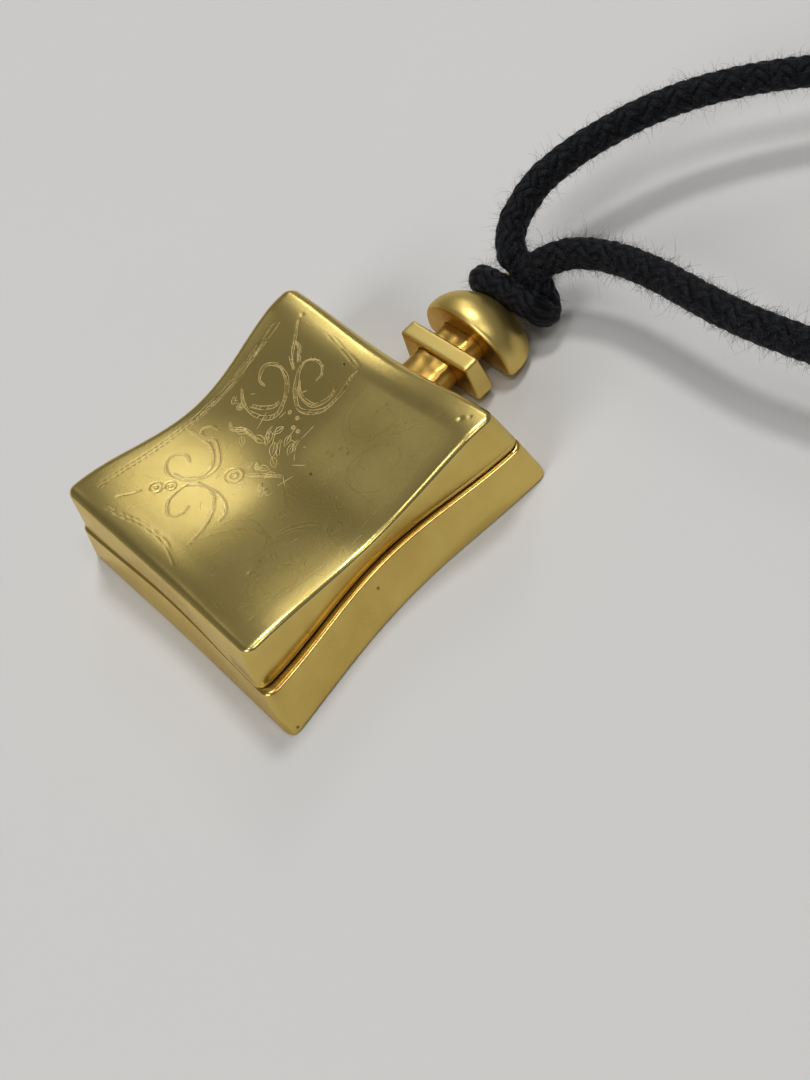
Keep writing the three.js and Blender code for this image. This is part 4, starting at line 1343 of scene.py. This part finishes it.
# A round wire carried along an ellipse that lies flat
def bailRing(wire, steps, sides):
    b = neck["bail"]
    t, a = np.arange(steps)[:, None] * 2 * np.pi / steps, np.arange(sides) * 2 * np.pi / sides
    normal = unit(np.hstack([np.cos(t) / b["halfX"], np.sin(t) / b["halfY"]]))
    x = b["halfX"] * np.cos(t) + wire * np.cos(a) * normal[:, :1]
    y = b["y"] + b["halfY"] * np.sin(t) + wire * np.cos(a) * normal[:, 1:]
    points = np.stack([x, y, b["z"] + wire * np.sin(a) + 0 * x], -1).reshape(-1, 3)
    return points, [gridFaces(steps, sides, closeRows=True, closeColumns=True)]


def makeBail():
    points, faces = bailRing(neck["bail"]["wire"], 120, 24)
    makePiece("bailLoop", points, faces, "base", "polished_gold", palePolishAndRimHighlight, nodes=("bail_loop",))


makePost()
makeCollar()
makeDome()
makeBail()
print("neck made")


# The hinge keeps its own solids, merged and given small rounded edges

hinge = {"edge": 0.07, "merge": 0.002, "segments": 2, "angle": 35}      # mm and degrees


def finishHinge():
    for node in ("base_hinge_leaf", "lid_hinge_leaf", "hinge_pin"):
        item = bpy.data.objects[node]
        weld = item.modifiers.new("weld", "WELD")
        weld.merge_threshold = hinge["merge"] * mm
        bevel = item.modifiers.new("bevel", "BEVEL")
        bevel.width = hinge["edge"] * mm
        bevel.segments = hinge["segments"]
        bevel.limit_method = "ANGLE"
        bevel.angle_limit = math.radians(hinge["angle"])
        item.data.materials.clear()
        item.data.materials.append(palePolishAndRimHighlight)


finishHinge()
print("hinge finished")


# Floor and light

studio = {
    "half": 1.6,             # metres from the middle to the floor's edge
    "floor": (0.76, 0.75, 0.735),
    "lamps": [               # name, watts, metres across, metres away, direction
        ("mainLamp", 4.1, 0.23, 1.2, (-0.236, 0.35, 0.906)),
        ("plateLamp", 0.31, 0.33, 1.2, (-0.58, 0.43, 0.69)),
        ("neckLamp", 0.6, 0.22, 1.2, (-0.58, 0.59, 0.56)),
        ("cornerLamp", 0.08, 0.34, 1.2, (-0.76, -0.05, 0.65)),
        ("edgeLamp", 1.1, 0.3, 1.2, (-0.04, -0.19, 0.97)),
        ("sideFill", 1.2, 0.35, 1.1, (0.36, 0.19, 0.91)),
        ("frontFill", 3.8, 0.6, 1.1, (0.15, -0.80, 0.58)),
    ],
    "horizon": (0.27, 0.267, 0.263),
    "overhead": (0.14, 0.14, 0.143),
}


def makeStage():
    points = np.array([(-1, -1, 0), (1, -1, 0), (1, 1, 0), (-1, 1, 0)]) * studio["half"] / mm
    floor = addObject("floor", makeMesh("floor", points, [np.array([[0, 1, 2, 3]])]))
    material, tree, shader, place = newMaterial("paper", {"Specular IOR Level": 0.1})
    cloud = noise(tree, place, 14.0, 3.0)
    tone = mixColour(tree, cloud, studio["floor"] + (1,), tuple(0.97 * c for c in studio["floor"]) + (1,))
    connect(tree, shader, tone, spread(tree, cloud, 0.3, 0.7, 0.75, 0.85))
    floor.data.materials.append(material)


def makeLights():
    for name, watts, across, away, direction in studio["lamps"]:
        data = bpy.data.lights.new(name, "AREA")
        data.shape = "DISK"
        data.size = across
        data.energy = watts
        lamp = addObject(name, data)
        toward = Vector(direction).normalized()
        lamp.matrix_world = Matrix.Translation(toward * away) @ toward.to_track_quat("Z", "Y").to_matrix().to_4x4()
    world = bpy.data.worlds.new("room")
    bpy.context.scene.world = world
    world.use_nodes = True
    tree = world.node_tree
    facing = addNode(tree, "SeparateXYZ", Vector=addNode(tree, "TexCoord").outputs["Generated"]).outputs[2]
    tone = mixColour(tree, spread(tree, facing, 0.05, 0.6), studio["horizon"] + (1,), studio["overhead"] + (1,))
    tree.links.new(tone, tree.nodes["Background"].inputs["Color"])


makeStage()
makeLights()
bpy.context.scene.view_settings.view_transform = "Standard"
print("floor and lights set")
